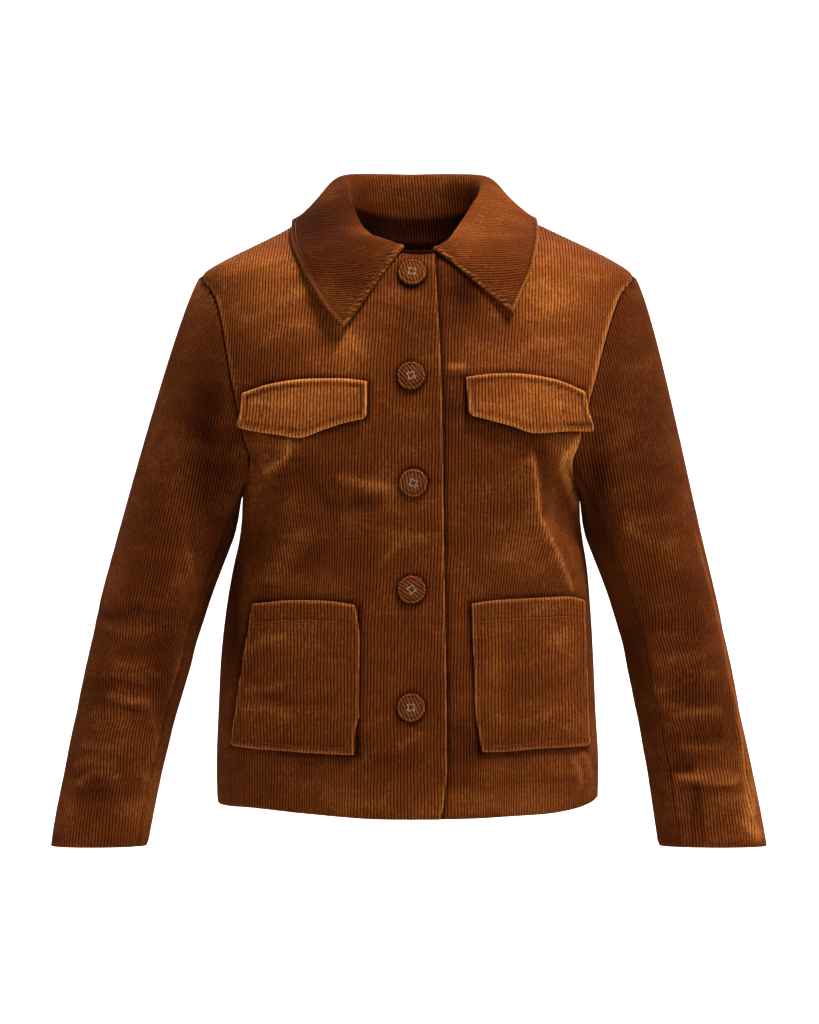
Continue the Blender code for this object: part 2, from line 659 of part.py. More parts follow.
def back_panel(name):
    turns, heights, _ = half_panel(LEFT, "back")
    right, right_normal = body_point(turns, heights, RIGHT)
    left, left_normal = body_point(turns, heights, LEFT)
    outer = np.concatenate([right[:, :0:-1], left], axis=1)
    normal = np.concatenate([right_normal[:, :0:-1], left_normal], axis=1)
    shoulders = [slice(0, len(SHOULDER_X)), slice(-len(SHOULDER_X), None)]
    build_panel(name, outer, normal, shoulders, [0, -1])


def build_panel(name, outer, normal, shoulders, seams):
    """Draws the seam edges back and gives the panel its wall."""
    down = unit(outer[-2] - outer[-1])
    for part in shoulders:
        outer[-1, part] += down[part] * SEAM / 2
    for edge in seams:
        pull_in(outer, edge)
    return wall(name, outer, outer - normal * CLOTH, CORDUROY)


# ---------------------------------------------------------------------------- sleeves
def sleeve_size(name, z):
    rows = SLEEVE[::-1]
    return smooth(column(rows, SLEEVE_COLUMNS, "z"), column(rows, SLEEVE_COLUMNS, name), z)


def sleeve_ring(angle, z, side):
    """A point of the sleeve's level section. The angle is 0 outside and 90 degrees in front."""
    word = "left" if side == LEFT else "right"
    x = sleeve_size(word + "_x", z) + sleeve_size(word + "_half", z) * np.cos(angle)
    y = sleeve_size("y", z) - sleeve_size("half_depth", z) * np.sin(angle)
    fold = np.zeros(np.shape(angle))
    for middle, height, span, tall, depth in SLEEVE_FOLDS:
        off = (np.degrees(angle) - middle + 180) % 360 - 180
        fold += depth * np.exp(-((off / span) ** 2) - ((z - height) / tall) ** 2)
    return np.stack([x + fold * np.cos(angle), y - fold * np.sin(angle), z + 0 * x], axis=-1)


def sleeve(side):
    """Grids of the sleeve's outer points and normals, rows from armhole to cuff, closed round."""
    front_turn, front_z = armhole("front")
    back_turn, back_z = armhole("back")
    turns = np.concatenate([front_turn[::-1], back_turn[1:]])
    heights = np.concatenate([front_z[::-1], back_z[1:]])
    hole, body_normal = body_point(turns, heights, side)
    hole[:, 0] *= side
    body_normal[:, 0] *= side
    hole_y = (hole[:, 1] - CAP_CENTRE_YZ[0]) / CAP_RADII_YZ[0]
    hole_z = (hole[:, 2] - CAP_CENTRE_YZ[1]) / CAP_RADII_YZ[1]
    angle = np.unwrap(np.arctan2(-hole_y, hole_z))
    angle -= angle[0]
    angle *= 2 * math.pi / angle[-1]

    top = np.full(len(angle), SLEEVE[0][0])
    joined = sleeve_ring(angle, top, side)
    below = sleeve_ring(angle, top - CAP_BELOW, side)
    out = CAP_OUT[0] + CAP_OUT[1] * np.cos(angle)
    down = CAP_DOWN[0] - CAP_DOWN[1] * np.cos(angle)
    start = unit(np.stack([out, -CAP_FRONT * np.sin(angle), -down], axis=-1))
    reach = np.linalg.norm(joined - hole, axis=1, keepdims=True)
    start *= CAP_START * np.clip(reach / CAP_LENGTH, *CAP_PULL)
    end = unit(below - joined) * np.minimum(CAP_END, reach * CAP_END_SHARE)
    rows = []
    for t in np.linspace(0, 1, CAP_ROWS + 1)[:-1]:
        rows.append(hermite(t, hole, start, joined, end))
    cuff = SLEEVE[-1][0] + CUFF_RISE * np.sin(angle)
    for t in np.linspace(0, 1, ARM_ROWS + 1):
        rows.append(sleeve_ring(angle, top + (cuff - top) * t, side))
    outer = np.array(rows)
    outer[:, -1] = outer[:, 0]

    around = np.roll(outer[:, :-1], -1, axis=1) - np.roll(outer[:, :-1], 1, axis=1)
    downward = np.gradient(outer[:, :-1], axis=0)
    normal = unit(np.cross(downward, around))
    outward = outer[:, :-1] - outer[:, :-1].mean(axis=1, keepdims=True)
    normal *= np.sign((normal * outward).sum())
    normal = np.concatenate([normal, normal[:, :1]], axis=1)

    both = unit(normal[0] + body_normal)
    alike = (normal[0] * body_normal).sum(axis=1, keepdims=True)
    agree = ease((alike - CAP_AGREES[0]) / CAP_AGREES[1])
    normal[0] = unit(normal[0] * (1 - agree) + both * agree)
    outer[0] += unit(outer[1] - outer[0]) * SEAM
    outer[0] += body_normal * UNDERARM_GAP * (1 - agree)
    return outer, normal, angle


def sleeve_pieces(side, word):
    outer, normal, angle = sleeve(side)
    outer[..., 0] *= side
    normal[..., 0] *= side
    front_seam = LEFT_FRONT_SEAM_ANGLE if side == LEFT else RIGHT_FRONT_SEAM_ANGLE
    front = int(np.argmin(np.abs(angle - front_seam)))
    back = int(np.argmin(np.abs(angle - BACK_SEAM_ANGLE)))
    count = len(angle) - 1
    spans = (
        (word + "_top_sleeve", [k % count for k in range(back, count + front + 1)]),
        (word + "_under_sleeve", list(range(front, back + 1))),
    )
    for name, picked in spans:
        part, facing = outer[:, picked].copy(), normal[:, picked].copy()
        pull_in(part, 0)
        pull_in(part, -1)
        wall(name, part, part - facing * CLOTH, CORDUROY)


# ---------------------------------------------------------------------------- collar
def collar_rows():
    """Neck, fold, edge, facing and roll at each row, from the wearer's right end round to the left."""
    rows = []
    for side, half_rows in ((RIGHT, COLLAR_RIGHT[:0:-1]), (LEFT, COLLAR_LEFT)):
        for neck_x, half, fold, edge, facing, roll in half_rows:
            z = neck_z(neck_x, half)
            turn = math.pi / 2 if neck_x == NECK_SIDE_X else turn_at_x(neck_x, z, half)
            neck = body_point(turn, z, side)[0]
            flip = np.array((side, 1, 1))
            out = np.array((math.cos(math.radians(facing)), math.sin(math.radians(facing)), 0))
            rows.append(np.concatenate([neck, fold * flip, edge * flip, out * flip, [roll]]))
    return np.array(rows)


def body_field(points):
    """A value that is 1 on the body and more outside it, and how it grows."""
    z = np.minimum(points[..., 2], BODY_TOP)
    front = points[..., 1] < 0
    power = np.where(front, body_size("front_power", z), body_size("back_power", z))
    slope = np.zeros(points.shape)
    value = np.maximum(points[..., 2] - BODY_TOP, 0) / ABOVE_TOP
    for axis, names in enumerate((("half_width", "half_width"), ("front", "back"))):
        away = points[..., axis] - (body_size("shift", z) if axis == 0 else 0.0)
        size = np.where(front, body_size(names[0], z), body_size(names[1], z))
        growing = np.where(front, growth(names[0], z), growth(names[1], z))
        share = np.abs(away) / size
        value += share**power
        slope[..., axis] = power * share ** (power - 1) * np.sign(away) / size
        slope[..., 2] -= power * share**power * growing / size
    return value, slope


def clear_of_body(points, need):
    """Moves points out along the body's normal until each is this far from it."""
    for _ in range(CLEARING_STEPS):
        value, slope = body_field(points)
        steep = np.maximum(np.linalg.norm(slope, axis=-1), 1.0)
        short = np.maximum(need - (value - 1) / steep, 0)
        points = points + slope * (short / steep)[..., None]
    return points


def rest(points, share):
    """How far the collar stays from the body: share is 0 to 1 on the stand, 1 to 2 on the fall."""
    over_neck = points[..., 2] - neck_z(np.abs(points[..., 0]), "front") - NECK_MARGIN
    need = SEAM_REST + (COLLAR_REST - SEAM_REST) * ease(share)
    need += FALL_OVER_STAND * ease((share - 0.7) / 0.3) * ease((1.5 - share) / 0.3)
    need += np.where(points[..., 0] < 0, front_lift(-points[..., 0]), 0.0)
    x, z, _ = BUTTONS[0]
    away = np.hypot(points[..., 0] - x, points[..., 2] - z) - BUTTON_RADIUS
    past_button = ease(1 - away / BUTTON_CLEAR) * ease((share - 0.3) * 2)
    need += (BUTTON_HEIGHT + BUTTON_SINK) * past_button
    return need - NECK_FREEDOM * np.maximum(over_neck, 0)


def collar_sheet():
    """Points of the collar's underside, and normals that point to the upper layer."""
    rows = collar_rows()
    steps = np.linspace(0, len(rows) - 1, (len(rows) - 1) * COLLAR_ALONG + 1)
    places = np.arange(len(rows))
    fine = np.stack([smooth(places, values, steps, False) for values in rows.T], axis=1)
    neck, fold, edge, out, roll = np.split(fine, (3, 6, 9, 12), axis=1)
    out = unit(out)
    rise, drop = fold - neck, edge - fold
    neck = neck + unit(rise) * STAND_START
    tall = np.linalg.norm(rise, axis=1, keepdims=True)
    wide = np.linalg.norm(drop, axis=1, keepdims=True)
    over = out * np.minimum(2 * np.sqrt(tall * roll), MOST_ROLL * tall)
    past = out * 2 * np.sqrt(wide * roll)
    even = np.linspace(0, 1, FOLD_SAMPLES + 1)
    stand = 1 - (1 - even) ** SAMPLES_CLOSER
    fall = even[1:] ** SAMPLES_CLOSER
    sheet = [hermite(t, neck, rise, fold, over) for t in stand]
    sheet += [hermite(t, fold, past, edge, drop) for t in fall]
    share = np.concatenate([even, 1 + fall])[:, None] * np.ones(len(fine))
    sheet = np.array(sheet)
    sheet = clear_of_body(sheet, rest(sheet, share))
    sheet = np.stack([collar_section(section) for section in sheet.transpose(1, 0, 2)], axis=1)
    normal = unit(np.cross(np.gradient(sheet, axis=0), np.gradient(sheet, axis=1)))
    if (normal[-2] * out).sum() < 0:
        normal = -normal
    return sheet, normal


def collar_section(section):
    """A finely drawn section at the few places where the collar gets its points, its fold made soft."""
    steps = np.linalg.norm(np.diff(section, axis=0), axis=1)
    walked = np.concatenate([[0], np.cumsum(steps)])
    tall = walked[FOLD_SAMPLES]
    wide = walked[-1] - tall
    down = 1 - np.linspace(0, 1, COLLAR_STAND + 1)
    closer = ease((tall - EVEN_STAND) / EVEN_STAND)
    down = down**PLACES_CLOSER * closer + down * (1 - closer)
    out = np.linspace(0, 1, COLLAR_FALL + 1)[1:] ** PLACES_CLOSER
    places = np.concatenate([tall * (1 - down), tall + wide * out])
    softness = np.minimum(FOLD_SOFTNESS, np.minimum(places, walked[-1] - places) / 2)
    eased = np.zeros((len(places), 3))
    for off, weight in zip(SOFT_STEPS, SOFT_WEIGHTS):
        moved = places + off * softness
        for axis in range(3):
            eased[:, axis] += weight * np.interp(moved, walked, section[:, axis])
    return eased


def collar():
    """Both layers lie on the collar's underside sheet, one on the other."""
    sheet, normal = collar_sheet()
    top = PLY + FOLD_GAP
    wall("under_collar", sheet + normal * PLY, sheet, CORDUROY, sheet)
    wall("upper_collar", sheet + normal * (top + PLY), sheet + normal * top, CORDUROY, sheet)


# ---------------------------------------------------------------------------- flaps and pockets
def patch_points(outline, rows):
    """Distances out and heights over an outline given by its top and bottom edges."""
    across = np.linspace(0, 1, PATCH_COLUMNS)
    points = np.array(outline)
    upper, lower = along(points[:, :2], across), along(points[:, 2:], across)
    share = np.linspace(0, 1, rows)[:, None, None]
    grid = upper[None] * (1 - share) + lower[None] * share
    return grid[..., 0], grid[..., 1]


def patch(name, side, outline, rows, free_edge):
    """A cloth piece laid on its front. free_edge is how far its lower edge stands off."""
    out, z = patch_points(outline, rows)
    down = np.linspace(0, 1, rows)[:, None] * np.ones(out.shape)
    lift = PATCH_LIFT + free_edge * down**FLAP_CURL
    if side == RIGHT:
        lift = lift + front_lift(out)
    if not free_edge:
        inner, normal = front_at(out, z, side, lift)
        return wall(name, inner + normal * CLOTH, inner, CORDUROY)
    kept = np.minimum(out, FLAP_FLAT_FROM)
    straight, straight_normal = front_at(kept, z, side, lift)
    straight[..., 0] += side * (out - kept)
    straight[..., 1] += FLAP_SLOPE * (out - kept)
    followed, followed_normal = front_at(out, z, side, lift)
    share = ease(down * FLAP_LETS_GO)[..., None]
    inner = followed * (1 - share) + straight * share
    normal = unit(followed_normal * (1 - share) + straight_normal * share)
    return wall(name, inner + normal * CLOTH, inner, CORDUROY)


# ---------------------------------------------------------------------------- buttons
def button(name, x, z, turn):
    """A cloth-covered button: a turned profile, domed, with a small waist at its back."""
    base, normal = front_at(np.array(-x), np.array(z), RIGHT, np.array(FRONT_LIFT + BUTTON_SINK))
    mesh = bpy.data.meshes.new(name)
    points = [(BUTTON_RADIUS * r, 0.0, BUTTON_HEIGHT * h) for r, h in BUTTON_PROFILE]
    mesh.from_pydata(points, [(i, i + 1) for i in range(len(points) - 1)], [])
    obj = place(name, mesh, COVERED_BUTTON)
    screw = obj.modifiers.new("Turned", "SCREW")
    screw.axis = "Z"
    screw.steps = screw.render_steps = BUTTON_STEPS
    screw.use_merge_vertices = True
    screw.merge_threshold = BUTTON_RADIUS / 250
    screw.use_normal_flip = True
    facing = Vector(normal).to_track_quat("Z", "Y").to_matrix().to_4x4()
    spin = Matrix.Rotation(math.radians(turn), 4, "Z")
    obj.matrix_world = Matrix.Translation(Vector(base)) @ facing @ spin
    return obj


# ---------------------------------------------------------------------------- the jacket
for old in list(bpy.data.objects):
    bpy.data.objects.remove(old, do_unlink=True)
jacket = bpy.data.collections.new("corduroy_jacket")
bpy.context.scene.collection.children.link(jacket)

front_panel("left_front", LEFT)
front_panel("right_front", RIGHT)
back_panel("back")
sleeve_pieces(LEFT, "left")
sleeve_pieces(RIGHT, "right")
collar()
patch("left_chest_flap", LEFT, LEFT_FLAP, FLAP_ROWS, FLAP_OPEN)
patch("right_chest_flap", RIGHT, RIGHT_FLAP, FLAP_ROWS, FLAP_OPEN)
patch("left_hip_pocket", LEFT, LEFT_POCKET, POCKET_ROWS, 0.0)
patch("right_hip_pocket", RIGHT, RIGHT_POCKET, POCKET_ROWS, 0.0)
for number, (button_x, button_z, thread_turn) in enumerate(BUTTONS, 1):
    button(f"button_{number}", button_x, button_z, thread_turn)
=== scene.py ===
"""Looks of a cropped corduroy jacket: each cloth piece is a thin ribbed shell on its solid's form.

Metres, +Z up, the jacket faces -Y. The ribs ("wales") are real ridges. They run along each piece's
grain and end where the piece is cut. Left and right are the wearer's.
"""

import math

import bpy
import numpy as np
from mathutils import Matrix, Vector


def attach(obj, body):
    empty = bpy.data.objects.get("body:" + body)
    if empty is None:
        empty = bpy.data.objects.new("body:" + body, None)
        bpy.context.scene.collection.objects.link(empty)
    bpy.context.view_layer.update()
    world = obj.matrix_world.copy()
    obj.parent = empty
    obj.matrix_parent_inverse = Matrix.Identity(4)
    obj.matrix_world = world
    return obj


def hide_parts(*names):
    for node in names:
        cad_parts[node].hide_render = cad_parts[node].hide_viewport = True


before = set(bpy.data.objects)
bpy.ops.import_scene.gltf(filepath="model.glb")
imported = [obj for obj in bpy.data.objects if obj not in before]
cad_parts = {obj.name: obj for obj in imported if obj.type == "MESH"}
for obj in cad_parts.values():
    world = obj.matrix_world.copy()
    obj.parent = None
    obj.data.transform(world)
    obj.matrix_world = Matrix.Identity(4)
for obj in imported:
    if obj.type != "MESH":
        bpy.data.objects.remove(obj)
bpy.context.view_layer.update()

LEFT, RIGHT = 1, -1
MM = 0.001
FAR = 9.0  # past every edge
NOT_SO_FAR = 2  # past every edge too, where tables still hold
NUDGE = 0.0005  # step over which slopes are measured

# ---------------------------------------------------------------------------- driving sizes
CLOTH = 0.0020  # wall of the corduroy
PLY = 0.0012  # wall of each of the collar's two layers
SEAM = 0.0003  # gap between two pieces at a seam
UNDERARM_GAP = 0.0015  # the sleeve clears the side of the body here
FOLD_GAP = 0.0008  # between the collar's two layers

UNDERARM_Z = -0.278  # top of the side seams
HEM_LEVEL = -0.598
WALE_LEVEL = -0.110  # above this height a panel's ribs stay upright
SIDE_SEAM_Y = -0.030  # the side seams lie a little to the front
FRONT_OVERLAP = 0.030  # the upper front stands off this far from the centre line
UNDER_REACH = 0.026  # how far the under front reaches past the centre line
FRONT_LIFT = 0.0035  # the upper front lies this far out over the under one
LIFT_FADE = 0.030  # and comes back to the body over this width

# ---------------------------------------------------------------------------- the body's form
# Level sections of the body: squared ellipses, of half width, depth to the front and to the back
# of the shoulder seam, sideways shift and how square each half is.
BODY_COLUMNS = ("z", "half_width", "front", "back", "shift", "front_power", "back_power")
BODY = (
    (-0.604, 0.1895, 0.125, 0.113, -0.0035, 2.7, 2.5),
    (-0.56, 0.1905, 0.1225, 0.111, -0.0035, 2.7, 2.5),
    (-0.5, 0.188, 0.119, 0.106, -0.004, 2.65, 2.5),
    (-0.45, 0.1858, 0.116, 0.101, -0.0038, 2.6, 2.45),
    (-0.4, 0.1815, 0.114, 0.0965, -0.0025, 2.6, 2.4),
    (-0.36, 0.1763, 0.1135, 0.0935, -0.0008, 2.6, 2.4),
    (-0.335, 0.1715, 0.114, 0.093, 0.0, 2.65, 2.45),
    (-0.305, 0.1685, 0.1165, 0.094, 0.0, 2.75, 2.5),
    (-0.278, 0.169, 0.1195, 0.0955, 0.0, 2.8, 2.6),
    (-0.258, 0.1775, 0.122, 0.097, 0.0002, 2.8, 2.65),
    (-0.24, 0.186, 0.124, 0.099, 0.0005, 2.8, 2.7),
    (-0.2, 0.205, 0.125, 0.103, 0.0015, 2.7, 2.7),
    (-0.15, 0.215, 0.12, 0.1055, 0.0033, 2.6, 2.65),
    (-0.11, 0.2172, 0.112, 0.103, 0.0055, 2.5, 2.55),
    (-0.09, 0.2168, 0.107, 0.1, 0.0063, 2.5, 2.5),
    (-0.068, 0.2145, 0.098, 0.096, 0.0066, 2.5, 2.5),
    (-0.053, 0.1915, 0.084, 0.0905, 0.0075, 2.5, 2.5),
    (-0.043, 0.1725, 0.071, 0.085, 0.008, 2.5, 2.5),
    (-0.033, 0.1529, 0.055, 0.078, 0.0075, 2.5, 2.5),
    (-0.025, 0.1373, 0.042, 0.069, 0.007, 2.5, 2.5),
    (-0.017, 0.1222, 0.03, 0.057, 0.0055, 2.5, 2.5),
    (-0.008, 0.101, 0.019, 0.039, 0.003, 2.5, 2.5),
    (0.0, 0.08, 0.01, 0.02, 0.002, 2.5, 2.5),
)
SHOULDER_TIP_Z = -0.068
RING_STEPS = 240
SHOULDER_SAMPLES = 2001
EVEN_TURN = 0.74  # power of the turn that grows evenly with the length walked

# The neck seam seen from the front, one line for the fronts and one for the back.
NECK_COLUMNS = ("x", "front_z", "back_z")
NECK = (
    (-0.03, -0.057, -0.033), (0.0, -0.06, -0.0335), (0.03, -0.053, -0.031),
    (0.055, -0.037, -0.0225), (0.067, -0.0265, -0.015), (0.075, -0.015, -0.008), (0.08, 0.0, 0.0),
)
NECK_SIDE_X = 0.080

# The edge of the upper front, z and x, and the hem along the front and the back.
FRONT_EDGE = (
    (-0.604, 0.0275), (-0.59, 0.03), (-0.545, 0.0343), (-0.456, 0.0334), (-0.33, 0.0314),
    (-0.17, 0.0286), (-0.06, 0.0229),
)
HEM_COLUMNS = ("x", "front_z", "back_z")
HEM = (
    (-0.2, -0.5965, -0.597), (-0.178, -0.5938, -0.5945), (-0.15, -0.5921, -0.5935),
    (-0.1, -0.5947, -0.5955), (-0.04, -0.5986, -0.598), (0.04, -0.5992, -0.5985),
    (0.1, -0.5974, -0.597), (0.15, -0.5957, -0.5955), (0.175, -0.5925, -0.5935),
    (0.2, -0.587, -0.5885),
)

# The armhole, y and z, from the side seam to the shoulder tip.
ARMHOLE_FRONT = (
    (-0.03, -0.278), (-0.058, -0.2725), (-0.075, -0.264), (-0.082, -0.253), (-0.0848, -0.232),
    (-0.088, -0.199), (-0.086, -0.18), (-0.078, -0.144), (-0.068, -0.117), (-0.055, -0.093),
    (-0.03, -0.0755), (0.0, -0.068),
)
ARMHOLE_BACK = (
    (-0.03, -0.278), (0.0, -0.2775), (0.028, -0.2735), (0.05, -0.262), (0.062, -0.24),
    (0.0665, -0.21), (0.067, -0.17), (0.06, -0.126), (0.043, -0.0935), (0.023, -0.0765),
    (0.0, -0.068),
)
ARMHOLE_STEPS = (0.0, 0.10, 0.20, 0.29, 0.39, 0.50, 0.61, 0.71, 0.80, 0.88, 0.94, 0.98, 1.0)
HOLE_STEPS = np.linspace(0, 1, 61)

# Soft ridges and hollows of the fronts and the back, as seen from the front: three points on the
# wearer's left, height, and the width towards the centre and towards the side. The bust dart's
# take-up gives the first two, the pull of the armhole the third.
FRONT_FOLDS = (
    (((0.116, -0.238), (0.12, -0.305), (0.157, -0.385)), 0.005, 0.03, 0.013),
    (((0.149, -0.262), (0.147, -0.31), (0.168, -0.352)), -0.0055, 0.012, 0.014),
    (((0.15, -0.205), (0.143, -0.235), (0.146, -0.262)), 0.003, 0.016, 0.01),
)
BACK_FOLDS = (
    (((0.135, -0.17), (0.13, -0.25), (0.12, -0.33)), 0.004, 0.022, 0.02),
    (((0.0, -0.34), (0.0, -0.42), (0.0, -0.52)), -0.004, 0.035, 0.035),
    (((0.09, -0.33), (0.105, -0.43), (0.12, -0.54)), 0.0045, 0.03, 0.022),
)
FOLD_FADE = 0.030  # the folds rise over this width away from the side seams
FOLD_ROUTE = 13  # places along a fold's middle line
FOLD_ENDS = 1.4  # how soon a fold rises from its two ends

# The dart of the left front, z and x. By z, how far the ribs beyond it lean, and how far the ribs
# of each front drift to the side.
DART = (
    (-0.62, 0.178), (-0.47, 0.176), (-0.43, 0.1714), (-0.389, 0.159), (-0.345, 0.1408),
    (-0.309, 0.1235), (-0.276, 0.1197), (-0.247, 0.1149), (0.0, 0.1149),
)
LEAN = ((-0.62, 0.044), (-0.4, 0.044), (-0.34, 0.038), (-0.255, 0.0), (0.0, 0.0))
LEFT_DRIFT = ((-0.62, 0.018), (-0.42, 0.018), (-0.32, 0.0), (0.0, 0.0))
RIGHT_DRIFT = ((-0.62, 0.016), (-0.36, 0.016), (-0.265, 0.0), (0.0, 0.0))
DRIFT_FROM = 0.050  # the drift starts this far from the centre line
DRIFT_OVER = 0.090
DART_RIB = 0.8  # height of a rib that the dart cuts
CENTRE_REACH = 0.045  # the fronts' ribs are counted from this far past the centre line

# ---------------------------------------------------------------------------- sleeves
# Level sections of each sleeve below the cap: ellipses.
SLEEVE_COLUMNS = ("z", "left_x", "left_half", "right_x", "right_half", "y", "half_depth")
SLEEVE = (
    (-0.3345, 0.2337, 0.0574, 0.2363, 0.0578, -0.01, 0.064),
    (-0.3944, 0.2517, 0.053, 0.2552, 0.0544, -0.015, 0.06),
    (-0.454, 0.2656, 0.0513, 0.27, 0.0518, -0.02, 0.056),
    (-0.5132, 0.2768, 0.0512, 0.2843, 0.0497, -0.026, 0.05),
    (-0.572, 0.2878, 0.052, 0.2967, 0.0481, -0.033, 0.044),
    (-0.611, 0.2941, 0.0529, 0.304, 0.0479, -0.038, 0.04),
    (-0.636, 0.2978, 0.0533, 0.3079, 0.0474, -0.041, 0.038),
)
CUFF_RISE = 0.0030  # the cuff's edge is this much higher in front
CAP_CENTRE_YZ = (-0.005, -0.180)  # middle of the armhole
CAP_RADII_YZ = (0.080, 0.100)
CAP_START = 0.050  # pull of the cap away from the armhole
CAP_END = 0.190  # pull into the upper arm
CAP_END_SHARE = 0.9  # no more of the cap's own length than this
CAP_LENGTH = 0.160  # the cap's length at which the first pull is whole
CAP_PULL = (0.15, 1.4)  # least and most of it
CAP_OUT = (0.36, 0.24)  # the first pull's way out, in the middle and more of it at the shoulder
CAP_FRONT = 0.10
CAP_DOWN = (0.80, 0.20)
CAP_BELOW = 0.020  # the upper arm's way is taken over this height
CAP_AGREES = (0.1, 0.5)  # how alike the cap and the body must face to share a normal, and over what
LEFT_FRONT_SEAM_ANGLE = math.radians(131)  # round the sleeve: 0 outside, 90 degrees in front
RIGHT_FRONT_SEAM_ANGLE = math.radians(150)
BACK_SEAM_ANGLE = math.radians(306)
# Folds round the sleeves: middle angle, z, half angle, half height, depth.
SLEEVE_FOLDS = (
    (85, -0.425, 60, 0.012, -0.003),
    (95, -0.462, 55, 0.011, 0.003),
    (85, -0.505, 60, 0.013, -0.003),
    (100, -0.56, 55, 0.012, -0.003),
    (245, -0.44, 50, 0.014, -0.004),
    (260, -0.52, 55, 0.016, -0.0035),
)
CAP_FINE, ARM_FINE = 30, 60  # rows of the cap and of the arm
SECTIONS = 420  # level sections of a top sleeve
SECTION_STEPS = 90  # places round each
UNDER_ROWS = (20, 60)
UNDER_WALES = 52  # ribs across an under sleeve
UNDER_LONG, UNDER_WIDE = 0.4, 0.17  # size that an under sleeve's edges are measured by

# ---------------------------------------------------------------------------- collar
# From the back centre to one front end: x and half of the neck seam where it starts, the top of
# the fold, the outer edge, the way the fold faces seen from above (90 is back, 0 sideways, -90
# front) and how far it rolls.
COLLAR_LEFT = (
    (0.0, "back", (0.0, 0.073, 0.042), (0.0, 0.095, -0.044), 90, 0.0045),
    (0.036, "back", (0.04, 0.069, 0.042), (0.056, 0.09, -0.0425), 72, 0.005),
    (0.062, "back", (0.075, 0.046, 0.0358), (0.1015, 0.07, -0.033), 34, 0.009),
    (0.08, "back", (0.073, 0.014, 0.0195), (0.1225, 0.008, -0.013), 4, 0.016),
    (0.066, "front", (0.06, -0.026, -0.007), (0.125, -0.05, -0.0385), -14, 0.008),
    (0.046, "front", (0.047, -0.056, -0.029), (0.116, -0.093, -0.074), -38, 0.005),
    (0.03, "front", (0.035, -0.077, -0.046), (0.106, -0.106, -0.0975), -58, 0.0045),
    (0.0175, "front", (0.0236, -0.089, -0.055), (0.0973, -0.115, -0.117), -74, 0.0045),
)
COLLAR_RIGHT = (
    (0.0, "back", (0.0, 0.073, 0.042), (0.0, 0.095, -0.044), 90, 0.0045),
    (0.036, "back", (0.037, 0.07, 0.042), (0.055, 0.09, -0.0425), 74, 0.006),
    (0.062, "back", (0.0685, 0.047, 0.0364), (0.0985, 0.071, -0.0335), 36, 0.013),
    (0.08, "back", (0.065, 0.014, 0.0205), (0.116, 0.008, -0.015), 4, 0.02),
    (0.069, "front", (0.056, -0.026, -0.013), (0.1165, -0.062, -0.044), -14, 0.009),
    (0.053, "front", (0.044, -0.056, -0.033), (0.1, -0.1, -0.082), -42, 0.005),
    (0.031, "front", (0.025, -0.08, -0.05), (0.0825, -0.116, -0.1105), -64, 0.0045),
    (0.0145, "front", (0.0087, -0.093, -0.056), (0.064, -0.126, -0.132), -80, 0.0045),
)
COLLAR_REST = 0.0016  # the collar's fall above the front it lies on
FALL_OVER_STAND = 0.0014  # more than that where the fall lies on the stand
SEAM_REST = 0.0018
NECK_FREEDOM = 1.5  # how much less that is for each length further above the neck seam
NECK_MARGIN = 0.004
CLEARING_STEPS = 8
BUTTON_CLEAR = 0.010  # the collar comes down again over this width round the top button
ABOVE_TOP = 0.010  # height over which the body counts as left behind
STAND_START = 0.0024  # the collar starts this far above the neck seam
STAND_HEIGHT = 0.030  # past this length from the neck the collar is its fall
MOST_ROLL = 0.8  # a low stand rolls over no further than this share of its height
COLLAR_ALONG = 8  # sections from one row of the tables to the next
FOLD_SAMPLES = 24  # first places of a section on its stand, and as many on its fall
SAMPLES_CLOSER = 1.3  # how much closer the places of a section lie towards the fold
STAND_ROWS = 14
FALL_ROWS = 20
EDGE_ROWS = 9  # rows a millimetre apart along the collar's edge
FOLD_SOFTNESS = 0.0040  # the fold is averaged over this length
SOFT_STEPS = np.linspace(-2, 2, 9)
SOFT_WEIGHTS = np.exp(-(SOFT_STEPS**2) / 2)
SOFT_WEIGHTS /= SOFT_WEIGHTS.sum()
COLLAR_RIB = 0.9  # height of the collar's ribs, as a share of the others'
STAND_SHADE = (0.795, 0.105)  # how much darker the stand is in its middle, and more at its sides

# ---------------------------------------------------------------------------- flaps and pockets
# Outlines seen from the front, from the centre side to the arm side: how far out from the centre
# line and how high the top edge is, and the same of the bottom edge.
LEFT_FLAP = (
    (0.0519, -0.1783, 0.0543, -0.2141),
    (0.073, -0.1755, 0.074, -0.219),
    (0.0945, -0.1745, 0.0945, -0.2243),
    (0.117, -0.176, 0.1165, -0.2305),
    (0.139, -0.18, 0.145, -0.2275),
    (0.1661, -0.19, 0.1725, -0.2272),
)
RIGHT_FLAP = (
    (0.0412, -0.1827, 0.0419, -0.2175),
    (0.06, -0.18, 0.062, -0.2215),
    (0.081, -0.1795, 0.083, -0.228),
    (0.108, -0.1803, 0.105, -0.235),
    (0.1357, -0.1843, 0.127, -0.2312),
    (0.1614, -0.1916, 0.1634, -0.2232),
)
LEFT_POCKET = (
    (0.0563, -0.3943, 0.066, -0.5355),
    (0.079, -0.3912, 0.086, -0.5355),
    (0.102, -0.39, 0.106, -0.5345),
    (0.125, -0.3892, 0.1247, -0.5336),
    (0.1568, -0.3898, 0.156, -0.534),
    (0.1683, -0.3932, 0.172, -0.5348),
)
RIGHT_POCKET = (
    (0.0493, -0.396, 0.0512, -0.5382),
    (0.0765, -0.392, 0.078, -0.5375),
    (0.1012, -0.3912, 0.102, -0.5365),
    (0.123, -0.392, 0.1255, -0.5354),
    (0.143, -0.3945, 0.156, -0.5345),
    (0.1525, -0.3956, 0.174, -0.5337),
)
PATCH_LIFT = 0.0012  # a pocket or flap above its front
PATCH_THICKER = 0.0006
PATCH_UNDER = 0.0002  # its inner face above its under side
PATCH_ROW = 0.0022
CORNER = 0.0045  # radius of a patch's lower corners
